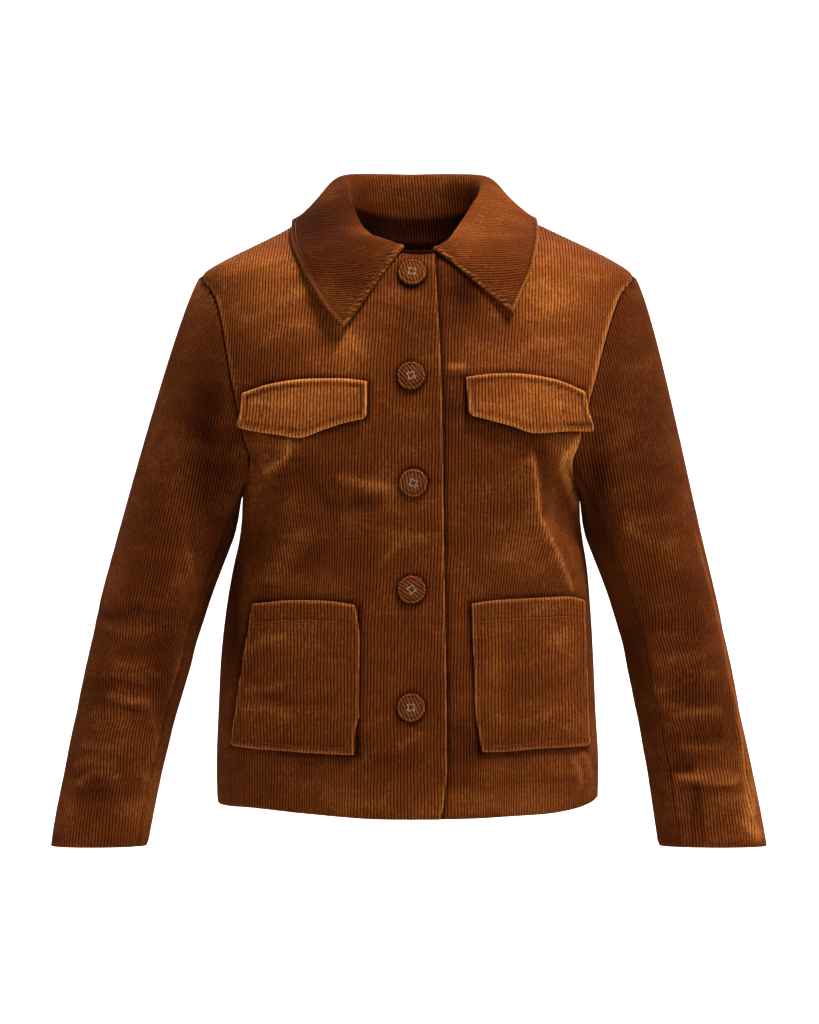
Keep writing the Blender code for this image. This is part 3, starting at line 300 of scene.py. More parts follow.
FLAP_OPEN = 0.0035  # how far the flap's free edge stands off
FLAP_FLAT_FROM = 0.146  # past this the flap keeps straight on over the armhole
FLAP_SLOPE = 0.42
FLAP_CURL = 1.5  # how late that opening grows down the flap
FLAP_LETS_GO = 1.6  # and how soon it stops following the front
FLAP_STITCHES = (("edge", 0.0058),)
POCKET_STITCHES = (("border", 0.0060), ("top", 0.0195))
PUFF = 0.0012  # how far a pocket's middle bulges
PUFF_OVER = 0.030
# How far the pockets' inner edges stray, by the share of the way down: more is narrower.
LEFT_SWAY = ((0.0, 0.0012), (0.4, -0.0008), (0.75, -0.0027), (0.86, -0.001), (1.0, 0.0012))
RIGHT_SWAY = (
    (0.0, 0.0038), (0.1, 0.001), (0.2, -0.0009), (0.64, -0.0009), (0.74, -0.0015), (0.82, 0.0018),
    (0.9, 0.0032), (1.0, 0.0028),
)

# ---------------------------------------------------------------------------- buttons
# x, z and the turn of the ribs in degrees.
BUTTONS = (
    (0.001, -0.0785, 15), (0.0, -0.1775, 40), (0.0022, -0.278, 10), (0.0006, -0.3805, 55),
    (0.0, -0.4928, 25),
)
BUTTON_RADIUS = 0.0132
BUTTON_HEIGHT = 0.0042
BUTTON_SINK = 0.0004  # gap between a button and the front
BUTTON_STEPS = 96
BUTTON_RIDGE = 0.0012  # height of its ribs
BUTTON_RIB_SHIFT = 0.0011
# Profiles, by shares of the radius and of the height, and tones: middle, width and amount.
BUTTON_FACE = (
    (0.0, 0.8), (0.2, 0.9), (0.45, 0.93), (0.68, 0.84), (0.78, 0.66), (0.88, 0.8), (0.95, 0.66),
    (1.0, 0.36),
)
BUTTON_UNDER = ((0.90, 0.12), (0.80, 0.02), (0.0, 0.0))
# The tones paint a highlight on the rim, shade in the groove inside it, and a darker middle.
BUTTON_TONES = ((0.90, 0.07, 0.35), (0.78, 0.05, -0.7), (0.0, 0.22, -0.5))
PETAL = 0.0013  # radius of each loop of thread
PETAL_OUT = 0.0029  # from the button's middle to the loop's
PETAL_THREAD = 0.00036

# ---------------------------------------------------------------------------- the cloth
WALE = 0.003175  # from one rib to the next
WALE_PLACES = np.array((0.0, 0.20, 0.50, 0.80))  # of a rib's width: groove, flank, crown, flank
WALE_SHAPE = np.array((0.0, 0.78, 1.0, 0.78))
WALE_HEIGHT = 0.0010
GROUND = -0.0005  # the grooves' floor under the solid's face
INSIDE = -0.0019  # the cloth's inner face
INSIDE_RIB = 0.45  # what the material takes as its rib height there
ROW = 0.005  # from one row of points to the next
BACK_ROW = 0.0062
NET_STEPS = 8  # turns of fitting a grid to a piece's edges
UNEVEN = 0.16  # how much a rib's height changes along it
RIB_WAVES = ((0.0213, 2.4, 0.0, 0.6), (0.0117, 4.1, 1.0, 0.4))  # length, turn a rib, start, share
WANDER = 0.00045  # how far the ribs stray from straight
WANDER_WAVES = ((0.083, 0.110, 0.0, 0.65), (0.037, -0.065, 1.0, 0.35))  # up, across, start, share
ROUND = 0.0016  # radius of a turned edge
HEM_ROUND = 0.0012
CUFF_ROUND = 0.0014
HOLE_TURNED = 0.0055  # width of the thicker edge round an armhole
DIP = 0.0011  # how far a seam lies below the cloth beside it
DIP_WIDTH = 0.0032
ON_SEAM, ON_EDGE = 1e-5, 1e-6  # nearer than this a point is on its seam or edge
HEM_FREE = 0.002  # a seam's allowance ends this far above the hem
ALLOWANCE = (0.0020, 0.0022)  # how far a seam edge turns out and in under its neighbour
PADDING = 0.0011  # a turned edge is this much thicker than the cloth beside its stitches
GATHER = 0.0005  # ease of the sleeve caps, in small gathers along their seams
GATHER_EVERY = 0.0075
GATHER_REACH = 0.007
CREASE_STEPS = 14
CREASE_ENDS = (3, 0.25)  # how soon a crease rises from its two ends, and how high it starts
SLEEVES_CREASE_MORE = 1.4

STITCH_WIDTH = 0.0011
STITCH_DEPTH = 0.0013
STITCH_EVERY = 0.0028
STITCH_LENGTH = 0.0020
STITCH_PLACES = np.array((0.0, 0.2, 0.8, 1.0))
STITCH_ENDS = np.array((0.86, 1.0, 1.0, 0.86))
COLLAR_STITCH = 0.0056  # from the edge to the line of stitches
THREAD = 0.00024  # radius
THREAD_RISE = 0.0002  # a thread's middle above the cloth

# Tones, most of them painted highlight and painted shade: lighter above 0, darker below.
CREASE_TONE = 0.35
FULL_CREASE = 0.002  # height of a crease that has its whole tone
# Turned edges lighter: wear and a painted highlight.
EDGE_TONE = 0.95
# Seams painted darker, as shade in their dip.
SEAM_SHADE = -0.5
SEAM_TONE_WIDTH = 0.0030
# The shoulder seam painted dark, as shade.
SHOULDER_SEAM_SHADE = -1.25
# The rolled armhole edge painted lighter, as a highlight, more on the left front.
HOLE_EDGE_HIGHLIGHT = {LEFT: 1.7, RIGHT: 0.6}
CONTACT_SHADOW_WIDTH = 0.0034  # width of the painted contact shadow beside a piece that lies on another
CONTACT_SHADOW_TONE = -1.15
# Sleeves painted darker overall, as shade.
SLEEVE_SHADE = 0.88

# Linear colours of groove, ridge and worn ridge, and of the threads. The groove is darker partly as
# painted shade; tone below 0 mixes towards it as painted shade, above 0 towards the worn ridge as
# wear and painted highlight.
CLOTH_COLOURS = (
    ("corduroy", (0.0145, 0.0024, 0.0005), (0.160, 0.0350, 0.0055), (0.400, 0.122, 0.026)),
    ("button_corduroy", (0.024, 0.0050, 0.0012), (0.200, 0.056, 0.0135), (0.42, 0.145, 0.040)),
)
PILE = {
    "Roughness": 0.92,
    "Specular IOR Level": 0.03,
    "Sheen Weight": 0.16,
    "Sheen Roughness": 0.35,
    "Sheen Tint": (1.0, 0.36, 0.11, 1),
}
THREAD_COLOURS = (("pale_thread", (0.50, 0.35, 0.21)), ("brown_thread", (0.33, 0.120, 0.038)))

FLOOR_Z = -0.94
FLOOR_BACK, FLOOR_BEND = 2.2, 1.2  # where the floor starts to turn up, and the turn's radius
PHOTO_FOCUS, PHOTO_HEIGHT = 2287, 1024  # in pixels
SENSOR = 36.0

# ---------------------------------------------------------------------------- tables of painted light, shade and creases
# Broad painted light and shade, seen from the front, in millimetres: x and z of the middle, reach
# sideways and up, and how much, lighter above 0 and darker below.
PAINTED_SHADING_POWERS = np.array((1.0, 1.22, 1.30))  # of red, green and blue: painted light is yellower, painted shade redder
BODY_PAINTED_SHADING = (
    (-140, -85, 50, 50, 1.3), (135, -90, 60, 45, 1.2), (-65, -150, 32, 30, 0.92),
    (-85, -118, 22, 14, 0.35), (90, -170, 50, 22, 0.55), (160, -170, 30, 30, 0.4),
    (0, -125, 30, 30, -0.22), (52, -92, 24, 32, -0.78), (41, -215, 12, 34, -0.32),
    (-180, -360, 10, 60, -0.4), (-176, -450, 8, 60, -0.35), (-166, -240, 8, 28, -0.45),
    (-100, -243, 40, 14, 0.75), (-55, -215, 20, 30, 0.35), (150, -245, 18, 30, 1),
    (5, -270, 40, 50, 0.2), (-40, -285, 22, 12, 0.35), (-145, -300, 14, 30, 0.25),
    (-110, -350, 45, 16, -0.25), (-178, -270, 10, 40, -0.5), (135, -520, 45, 35, 0.38),
    (82, -540, 12, 20, 0.35), (50, -535, 12, 30, -0.38), (-150, -530, 30, 28, 0.4),
    (-172, -490, 12, 30, 0.45), (-20, -540, 30, 12, -0.2), (0, -580, 80, 12, 0.22),
)
BACK_PAINTED_SHADING = (
    (-140, -85, 50, 50, 0.8), (135, -90, 60, 45, 0.75), (-90, -200, 50, 40, 0.35),
    (100, -210, 45, 35, 0.4), (135, -520, 45, 35, 0.3), (-150, -530, 35, 30, 0.35),
    (0, -400, 70, 30, -0.1), (0, -580, 80, 12, 0.15),
)
SLEEVE_PAINTED_SHADING = (
    (-215, -90, 22, 30, 0.45), (-197, -255, 22, 70, -0.6), (-196, -205, 18, 40, -0.45),
    (-243, -460, 16, 110, -0.38), (-213, -370, 10, 30, 0.1), (-290, -340, 18, 80, 0.3),
    (-335, -600, 16, 35, 0.45), (-258, -600, 10, 40, 0.3), (195, -180, 14, 60, -0.15),
    (220, -130, 30, 60, -0.22), (-295, -610, 60, 40, 0.16), (295, -610, 60, 40, 0.16),
    (235, -230, 30, 60, -0.42), (182, -280, 14, 50, -0.6), (208, -370, 14, 45, 0.55),
    (243, -480, 14, 45, 0.45), (275, -440, 22, 80, -0.3), (335, -600, 12, 35, 0.9),
    (290, -555, 20, 10, 0.35),
)
COLLAR_PAINTED_SHADING = (
    (-95, -20, 50, 60, -0.75), (-60, -75, 30, 30, -0.3), (-85, 10, 10, 20, 0.7),
    (88, -5, 22, 30, 0.3), (120, -30, 14, 40, -0.15), (60, -40, 16, 18, 0.45),
    (0, -32, 40, 10, 2.2),
)
PATCH_PAINTED_SHADING = (
    (-108, -200, 80, 40, 1.6), (125, -205, 80, 40, 1.25), (80, -460, 10, 60, 0.4),
    (150, -440, 25, 80, 0.25), (-160, -500, 20, 30, 0.35), (-120, -430, 25, 12, 0.2),
)

# Creases of the cloth as seen from the front, in millimetres: x and z of the points, height, and
# width to the left and to the right of the way from the first point to the last.
BODY_CREASES = (
    (((114.9, -247), (119.7, -276), (123.5, -309)), 2, 3, 6),
    (((123.5, -309), (140.8, -345), (159, -389)), 1.8, 3.5, 7),
    (((163, -232), (148.5, -262), (154, -282), (164, -305)), 2.8, 5, 5),
    (((163.3, -536), (171.4, -552), (177.1, -570)), 2.2, 3.5, 5),
    (((-115.8, -237), (-122.6, -253), (-142.7, -268)), 3, 6, 8),
    (((-101.5, -323), (-120.7, -353), (-137, -377)), 1.8, 11, 11),
    (((-170, -350), (-173, -400), (-172, -450)), -3, 6, 5),
    (((-170, -125), (-145, -118), (-115, -98), (-100, -90)), 1.2, 5, 7),
    (((-150, -150), (-125, -135), (-100, -126)), 1.1, 4, 6),
    (((-125, -165), (-100, -150), (-75, -140)), -1, 5, 7),
    (((-70, -125), (-56, -145), (-40, -162)), 1.2, 4, 7),
    (((-35, -85), (-15, -98), (12, -100)), 1, 3, 5),
    (((165, -100), (130, -112), (100, -130)), 1.2, 5, 8),
    (((155, -142), (120, -148), (90, -160)), 1, 5, 7),
    (((-75, -272), (-45, -280), (-20, -283)), 1.4, 4, 6),
    (((-90, -298), (-60, -301), (-35, -296)), -1.4, 5, 7),
    (((-105, -270), (-82, -295), (-70, -330)), -1.1, 6, 8),
    (((-50, -548), (-30, -532), (-5, -533)), 1.6, 4, 6),
    (((-10, -505), (10, -518), (25, -516)), 1.2, 3, 4.5),
    (((40, -510), (55, -525), (62, -542)), -1.4, 5, 7),
    (((33, -170.5), (43, -169), (53, -170)), 1.4, 3, 3),
    (((40, -300), (80, -312), (110, -305)), -0.8, 9, 9),
    (((6, -176.5), (30, -178.5)), -1, 2.6, 2.6),
    (((6, -277.5), (31, -279)), -1, 2.6, 2.6),
    (((6, -380), (31, -381.5)), -1, 2.6, 2.6),
    (((6, -493), (33, -494)), -0.8, 2.6, 2.6),
)
BACK_CREASES = (
    (((135, -190), (128, -250), (118, -310)), 2, 8, 8),
    (((-138, -200), (-130, -250), (-121, -300)), 2, 8, 8),
    (((-50, -370), (0, -378), (60, -372)), 1.2, 7, 10),
    (((-30, -402), (30, -408), (70, -400)), -1.2, 7, 8),
)
PATCH_CREASES = (
    (((60, -470), (110, -480), (165, -468)), -0.8, 6, 6),
    (((-165, -448), (-140, -430), (-115, -426)), 1.3, 4, 8),
    (((-170, -470), (-145, -478), (-120, -470)), 1, 3.5, 6),
    (((-165, -500), (-140, -495), (-110, -505)), 1, 4, 6),
    (((75, -500), (100, -508), (135, -500)), 0.8, 5, 7),
    (((90, -420), (125, -430), (155, -425)), 0.7, 6, 8),
    (((-155, -200), (-130, -205), (-110, -197)), 0.6, 4, 6),
    (((100, -205), (120, -198), (145, -206)), 0.6, 4, 6),
    (((-150, -480), (-110, -490), (-70, -485)), -0.8, 6, 6),
)
LEFT_SLEEVE_CREASES = (
    (((204, -315), (230, -333), (262, -338)), 1, 4, 6),
    (((270, -270), (250, -295), (220, -305)), -1, 6, 6),
    (((246, -450), (264, -446), (290, -448)), 1.1, 3, 5),
    (((232, -480), (250, -479)), 1.2, 5, 5),
    (((242, -474), (270, -470), (300, -464)), 1.2, 3, 5),
    (((250, -506), (278, -501), (305, -498)), 1.8, 3, 5),
    (((274, -521), (290, -520), (305, -523)), -2.6, 5, 6),
    (((260, -529), (278, -535), (305, -533)), 1.5, 2.5, 4.5),
    (((255, -556), (264, -554), (275, -556)), -1.8, 5, 6),
    (((267, -566), (293, -561), (319, -565)), 3, 3.5, 6),
    (((290, -583), (306, -580), (322, -583)), 1.2, 2.5, 4),
    (((276, -568), (280, -600), (283, -630)), -2.2, 3, 4.5),
    (((326, -595), (332, -610), (342, -625)), 2.2, 3, 6),
    (((312, -476), (320, -518), (330, -569), (332, -611)), 2.2, 5, 2.5),
)
RIGHT_SLEEVE_CREASES = (
    (((-203, -386), (-213, -427), (-231, -511), (-250, -568)), 1.8, 5, 3.5),
    (((-313, -405), (-290, -408), (-260, -400)), -2, 5, 6),
    (((-300, -418), (-270, -423), (-235, -415)), 1.1, 3, 5),
    (((-290, -440), (-260, -443), (-235, -438)), -1.6, 6, 6),
    (((-305, -464), (-285, -462), (-256, -468)), 1.2, 2.5, 4.5),
    (((-298, -485), (-276, -487), (-254, -493)), 2.6, 2.4, 4.5),
    (((-316, -506), (-295, -501), (-270, -508)), 1.4, 3.5, 5),
    (((-325, -532), (-300, -536), (-275, -529)), 1.3, 3, 5),
    (((-330, -556), (-310, -548), (-285, -553)), 1.8, 3, 6),
    (((-320, -572), (-290, -569), (-260, -574)), -2.4, 5, 6),
    (((-225, -325), (-218, -348), (-215, -370)), 1.4, 3, 3),
    (((-255, -500), (-250, -530), (-256, -556)), 1.2, 2.5, 3),
)
BEHIND = (
    (((240, -400), (262, -405), (290, -398)), -2.8, 8, 8),
    (((245, -430), (270, -436), (300, -428)), 2.4, 7, 8),
    (((-240, -410), (-265, -414), (-292, -408)), -2.8, 8, 8),
    (((-247, -440), (-272, -446), (-300, -438)), 2.4, 7, 8),
)

# Lines of painted highlight and painted shade along the same kinds of ways: points, amount and two
# widths.
BODY_STROKES = (
    (((114.9, -247), (119.7, -276), (123.5, -309), (140.8, -345), (159, -389)), 0.85, 1.6, 1.6),
    (((124, -240), (129, -276), (133, -309)), -0.5, 5, 5),
    (((162.7, -232), (144.5, -262.5), (150.2, -274), (161.7, -308)), 0.6, 3, 3),
    (((-116.8, -233.8), (-116.8, -249), (-130, -260.6), (-145.5, -270)), 0.6, 2.2, 2.2),
    (((-159, -250), (-148, -258)), -0.6, 6, 6),
    (((-73.7, -271), (-42, -280), (-15.3, -285.4)), 0.22, 3, 3),
    (((-56.5, -292.1), (-24.9, -296)), -0.5, 4, 10),
    (((-33.5, -360), (-10.5, -335)), 0.35, 4, 4),
    (((-8.6, -326.6), (29.7, -330.4)), 0.35, 3, 3),
    (((-47.8, -510.3), (-14.4, -498.9)), 0.25, 2.5, 3.5),
    (((-14.4, -529.5), (11.5, -518)), 0.4, 2.5, 3.5),
    (((33, -170.5), (43, -169), (53, -170)), 0.9, 2.2, 2.2),
    (((33, -176.5), (50, -177)), -0.7, 3, 3),
    (((33, -206), (50, -210)), -0.5, 4, 4),
    (((-156, -396), (-166, -450), (-174, -520)), -0.5, 4, 4),
    (((156, -542), (163, -556), (167, -572)), 0.6, 2, 3),
)
RIGHT_SLEEVE_STROKES = (
    (((-295.4, -485.9), (-252.5, -493.7)), 0.8, 1.8, 1.8),
    (((-288.6, -455.7), (-266.2, -453.7), (-239.9, -471.3)), 0.4, 3, 3),
    (((-311, -516.1), (-295.4, -508.3), (-276.9, -514.2)), 0.4, 3, 3),
    (((-327.6, -572.7), (-307.1, -561), (-280.8, -566.8)), 0.6, 3, 3),
    (((-329.6, -581.5), (-258.4, -579.5)), -0.5, 6, 6),
    (((-207.7, -410.8), (-222.3, -441.1), (-239.9, -516.1), (-250.6, -575.6)), 0.6, 2.2, 2.2),
    (((-224.3, -335.8), (-228.2, -366), (-213.5, -396.2)), 0.12, 3, 3),
)
LEFT_SLEEVE_STROKES = (
    (((278.9, -321.1), (309.1, -441.1), (319.8, -508.3), (329.6, -601.9)), 0.7, 1.8, 1.8),
    (((244.7, -525.9), (305.2, -526.9)), -0.5, 5, 5),
    (((256.4, -564.9), (312, -568.8), (323.7, -564.9)), 0.9, 3, 3),
    (((260, -574.5), (315, -577)), -0.5, 4, 4),
    (((240.8, -493.7), (305.2, -504.4)), 0.45, 3, 3),
    (((297.4, -587.3), (329.6, -587.3)), 0.5, 3, 3),
    (((275, -583.4), (275, -632.1)), -0.6, 2.5, 2.5),
    (((319.8, -605.8), (342.2, -628.3)), 0.6, 3, 3),
)


# ---------------------------------------------------------------------------- curves and tables
def column(rows, names, name):
    return np.array([row[names.index(name)] for row in rows], float)


def lookup(x, pairs):
    """A table of pairs with straight lines between them."""
    return np.interp(x, *zip(*pairs))


def smooth(xs, ys, x, level_turns=True):
    """A cubic through the points of a table, held past its ends and level where the values turn."""
    x = np.clip(np.asarray(x, float), xs[0], xs[-1])
    steps = np.diff(xs)
    rises = np.diff(ys) / steps
    slopes = np.empty(len(xs))
    slopes[0], slopes[-1] = rises[0], rises[-1]
    slopes[1:-1] = (rises[:-1] * steps[1:] + rises[1:] * steps[:-1]) / (steps[1:] + steps[:-1])
    turned = level_turns & (np.sign(rises[:-1]) != np.sign(rises[1:]))
    slopes[1:-1][turned] = 0.0
    i = np.clip(np.searchsorted(xs, x) - 1, 0, len(steps) - 1)
    t = (x - xs[i]) / steps[i]
    start = (1 + 2 * t) * (1 - t) ** 2 * ys[i] + t * (1 - t) ** 2 * steps[i] * slopes[i]
    end = t * t * (3 - 2 * t) * ys[i + 1] + t * t * (t - 1) * steps[i] * slopes[i + 1]
    return start + end


def lengths(path):
    """Length walked along a path up to each of its points."""
    return np.concatenate([[0], np.cumsum(np.linalg.norm(np.diff(path, axis=0), axis=1))])


def spots(at, walked, path):
    """Points of a path at these lengths."""
    return np.stack([np.interp(at, walked, values) for values in path.T], axis=-1)


def along(points, t):
    """A smooth curve through a few points, t from 0 to 1 by length."""
    points = np.asarray(points, float)
    walked = lengths(points)
    return np.stack([smooth(walked / walked[-1], values, t) for values in points.T], axis=-1)


def hermite(t, start, leaving, end, arriving):
    """A point of the curve between two ends with these pulls."""
    place = (1 + 2 * t) * (1 - t) ** 2 * start + t * (1 - t) ** 2 * leaving
    return place + t * t * (3 - 2 * t) * end + t * t * (t - 1) * arriving


def unit(v):
    return v / np.maximum(np.linalg.norm(v, axis=-1, keepdims=True), 1e-12)


def ease(t):
    t = np.clip(t, 0, 1)
    return t * t * (3 - 2 * t)


# ---------------------------------------------------------------------------- the body's surface
BODY_TABLE = {name: column(BODY, BODY_COLUMNS, name) for name in BODY_COLUMNS}
BODY_TOP = BODY[-1][0]


def body_size(name, z):
    return smooth(BODY_TABLE["z"], BODY_TABLE[name], z)


def growth(name, z):
    """How fast a size of the body grows with height."""
    return (body_size(name, z + NUDGE) - body_size(name, z - NUDGE)) / (2 * NUDGE)


def of_half(front, ahead, behind, z, size=body_size):
    return np.where(front, size(ahead, z), size(behind, z))


def power_at(front, z):
    return of_half(front, "front_power", "back_power", z)


def ring(turn, z):
    """x and y on the body's section at height z. turn is 0 at the front centre, pi at the back."""
    front = turn <= math.pi / 2
    power = power_at(front, z)
    depth = np.where(front, -body_size("front", z), body_size("back", z))
    x = body_size("half_width", z) * np.maximum(np.sin(turn), 0) ** (2 / power)
    return x, depth * np.abs(np.cos(turn)) ** (2 / power)


def turn_at_x(x, z, half):
    """Where the section at height z has this distance from the centre."""
    power = body_size(half + "_power", z)
    share = np.clip(np.abs(x) / body_size("half_width", z), 0, 1)
    turn = np.arcsin(share ** (power / 2))
    return turn if half == "front" else math.pi - turn


def turn_at_y(y, z):
    front = y <= 0
    power = power_at(front, z)
    depth = of_half(front, "front", "back", z)
    turn = np.arccos(np.clip(np.abs(y) / depth, 0, 1) ** (power / 2))
    return np.where(front, turn, math.pi - turn)


def girth(z, half):
    """Turns round the section at each height, and the length walked from the half's centre."""
    turns = np.linspace(0, math.pi, RING_STEPS + 1)
    if half == "back":
        turns = turns[::-1]
    x, y = ring(turns[None, :], np.asarray(z, float)[:, None])
    steps = np.hypot(np.diff(x, axis=1), np.diff(y, axis=1))
    return turns, np.concatenate([np.zeros((len(x), 1)), np.cumsum(steps, axis=1)], axis=1)


def walk(turn, z, half):
    """Length round the section from the centre to a turn."""
    turns, walked = girth(z, half)
    order = 1 if half == "front" else -1
    return np.array([np.interp(order * t, order * turns, row) for t, row in zip(turn, walked)])


def turn_walked(length, z, half):
    """The turn at a length walked round the section from the centre of its half."""
    levels, group = np.unique(np.round(z, 5), return_inverse=True)
    order = np.argsort(group, kind="stable")
    cuts = np.searchsorted(group[order], np.arange(len(levels) + 1))
    turns, walked = girth(levels, half)
    result = np.empty(len(length))
    for row, start, end in zip(walked, cuts, cuts[1:]):
        picked = order[start:end]
        result[picked] = np.interp(length[picked], row, turns**EVEN_TURN) ** (1 / EVEN_TURN)
    return result


def folds_at(x, z, folds):
    """Height of the soft ridges and hollows at places seen from the front, both sides alike."""
    total = np.zeros(np.shape(x))
    reach = np.abs(x)
    for points, height, inner, outer in folds:
        share = np.linspace(0, 1, FOLD_ROUTE)
        route = along(points, share)
        away = np.stack([np.hypot(reach - px, z - pz) for px, pz in route])
        nearest = np.argmin(away, axis=0)
        width = np.where(reach < route[nearest, 0], inner, outer)
        ends = ease((1 - np.abs(2 * share[nearest] - 1)) * FOLD_ENDS)
        total += height * ends * np.exp(-((away.min(axis=0) / width) ** 2))
    return total


def fold_height(x, z, front):
    return np.where(front, folds_at(x, z, FRONT_FOLDS), folds_at(x, z, BACK_FOLDS))


def body_point(turn, z, side, lift=0.0):
    """Outer surface of the body and its outward normal, side -1 or 1 of the centre line."""
    turn, z = np.broadcast_arrays(np.asarray(turn, float), np.asarray(z, float))
    x, y = ring(turn, z)
    front = turn <= math.pi / 2
    power = power_at(front, z)
    width = body_size("half_width", z)
    depth = of_half(front, "front", "back", z)
    widening = growth("half_width", z)
    deepening = of_half(front, "front", "back", z, growth)
    share_x, share_y = np.abs(x) / width, np.abs(y) / depth
    normal_x = share_x ** (power - 1) / width
    normal_y = np.sign(y) * share_y ** (power - 1) / depth
    normal_z = -(share_x**power) * widening / width - share_y**power * deepening / depth
    normal = unit(np.stack([normal_x, normal_y, normal_z], axis=-1))
    # Past the back's edge of the side the folds are gone, so that both panels agree at the seams.
    fade = ease((np.abs(y) - abs(SIDE_SEAM_Y)) / FOLD_FADE)
    fade *= ease((SHOULDER_TIP_Z - FOLD_FADE - z) / FOLD_FADE)
    height = fold_height(x, z, front) * fade
    ahead = fold_height(x + NUDGE, z, front), fold_height(x, z + NUDGE, front)
    slopes = [(value * fade - height) / NUDGE for value in ahead]
    tilt = np.stack([slopes[0], np.zeros(np.shape(x)), slopes[1]], axis=-1)
    tilt -= normal * (tilt * normal).sum(axis=-1, keepdims=True)
    points = np.stack([x, y, z], axis=-1) + normal * (height + lift)[..., None]
    normal = unit(normal - tilt)
    points[..., 0] = side * points[..., 0] + body_size("shift", z)
    normal[..., 0] *= side
    return points, normal


def front_lift(out):
    """How far the right front stands off to lie over the left one."""
    return FRONT_LIFT * ease(1 - np.maximum(out - FRONT_OVERLAP, 0) / LIFT_FADE)


def front_at(out, z, side, lift=0.0):
    """The front seen from the front: out is the distance from the centre line towards that side."""
    out = np.asarray(out, float) - side * body_size("shift", z)
    turn = turn_at_x(out, z, "front")
    return body_point(turn, z, np.where(out < 0, -side, side), lift)


def neck_z(x, half):
    return smooth(column(NECK, NECK_COLUMNS, "x"), column(NECK, NECK_COLUMNS, half + "_z"), x)


def hem_z(x, half):
    return smooth(column(HEM, HEM_COLUMNS, "x"), column(HEM, HEM_COLUMNS, half + "_z"), x)


def shoulder_z(x):
    """Height of the shoulder seam, where the section is just this wide."""
    z = np.linspace(SHOULDER_TIP_Z, BODY_TOP, SHOULDER_SAMPLES)
    return np.interp(x, body_size("half_width", z)[::-1], z[::-1])


def past_centre(z, side):
    """How far a front reaches past the body's centre line."""
    if side == LEFT:
        return np.full(np.shape(z), UNDER_REACH)
    return smooth(*np.array(FRONT_EDGE).T, z) - body_size("shift", z)


def armhole(half, steps):
    """Turn and height at each step up the armhole, from the side seam to the shoulder tip."""
    points = along(ARMHOLE_FRONT if half == "front" else ARMHOLE_BACK, np.array(steps))
    turns = turn_at_y(points[:, 0], points[:, 1])
    if half == "back":
        turns[-1] = math.pi / 2
    return turns, points[:, 1]


def panel_turns(places, heights, half):
    """The turn at each place of a panel. Above the wale level the ribs stay upright."""
    z = heights.ravel()
    low = np.minimum(z, WALE_LEVEL)
    turn = turn_walked(np.abs(places).ravel(), low, half)
    upper = turn_at_x(ring(turn, low)[0], z, half)
    return np.where(z > WALE_LEVEL, upper, turn).reshape(places.shape)


# ---------------------------------------------------------------------------- creases and pile
def creases(points, table):
    """Heights of a table's creases, or amounts of its strokes, at points seen from the front."""
    x, z = points[..., 0], points[..., 2]
    total = np.zeros(x.shape)
    for way, height, left, right in table:
        route = along(np.multiply(way, MM), np.linspace(0, 1, CREASE_STEPS + 1))
        reach = 3 * MM * max(left, right)
        beside = (x > route[:, 0].min() - reach) & (x < route[:, 0].max() + reach)
        beside &= (z > route[:, 1].min() - reach) & (z < route[:, 1].max() + reach)
        px, pz = x[beside], z[beside]
        away = np.full(px.shape, FAR)
        over, walked = np.zeros(px.shape), np.zeros(px.shape)
        for n, ((ax, az), (bx, bz)) in enumerate(zip(route, route[1:])):
            way_x, way_z = bx - ax, bz - az
            share = ((px - ax) * way_x + (pz - az) * way_z) / (way_x**2 + way_z**2)
            share = np.clip(share, 0, 1)
            gap = np.hypot(px - ax - share * way_x, pz - az - share * way_z)
            closer = gap < away
            away = np.where(closer, gap, away)
            over = np.where(closer, way_x * (pz - az) - way_z * (px - ax), over)
            walked = np.where(closer, (n + share) / CREASE_STEPS, walked)
        width = MM * np.where(over > 0, left, right)
        ends = ease((1 - np.abs(2 * walked - 1)) * CREASE_ENDS[0] + CREASE_ENDS[1])
        total[beside] += height * ends * np.exp(-((away / width) ** 2))
    return total


# Crease ridges lighter, as wear and a painted highlight; hollows darker, as painted shade.
def crease_tone(crease):
    return np.clip(crease / FULL_CREASE, -1, 1) * CREASE_TONE


def painted_shading(points, table, most=1.0):
    """Painted light and shade at each point, by its place seen from the front."""
    x, z = points[..., 0] / MM, points[..., 2] / MM
    total = np.full(x.shape, 1.0) * most
    for middle_x, middle_z, reach_x, reach_z, amount in table:
        away = ((x - middle_x) / reach_x) ** 2 + ((z - middle_z) / reach_z) ** 2
        total *= 1 + amount * np.exp(-away)
    return total[..., None] ** PAINTED_SHADING_POWERS


# ---------------------------------------------------------------------------- ribbed shells
def wale_places(low, high):
    """Places across the cloth that draw its ribs between two limits, and past them."""
    first, last = math.floor(low / WALE) - 1, math.ceil(high / WALE) + 1
    places = (np.arange(first, last)[:, None] + WALE_PLACES).ravel() * WALE
    return np.concatenate([[-FAR], places, [FAR]])


def rib(place, along_it=0.0):
    """Height of a rib at a place across the cloth, 0 in the groove to about 1 on its crown."""
    share, number = np.mod(place / WALE, 1.0), np.floor(place / WALE)
    low = 0.0
    for long, turn, start, part in RIB_WAVES:
        wave = np.sin(2 * math.pi * along_it / long + turn * number + start)
        low = low + part * (1 - wave) / 2
    height = np.interp(share, np.append(WALE_PLACES, 1.0), np.append(WALE_SHAPE, 0.0))
    return height * (1 - UNEVEN * low)


def wander(u, z):
    """How far the ribs stray sideways at a place of the cloth."""
    waves = [
        part * np.sin(2 * math.pi * (z / up + u / across) + start)
        for up, across, start, part in WANDER_WAVES
    ]
    return WANDER * sum(waves)


def with_ends(rows, digits):
    return np.concatenate([[-FAR], np.unique(np.round(rows, digits)), [FAR]])


def some_of(count):
    """The columns that the cloth's plain inner face keeps."""
    return np.unique(np.concatenate([[0], np.arange(1, count, 4), [count - 1]]))


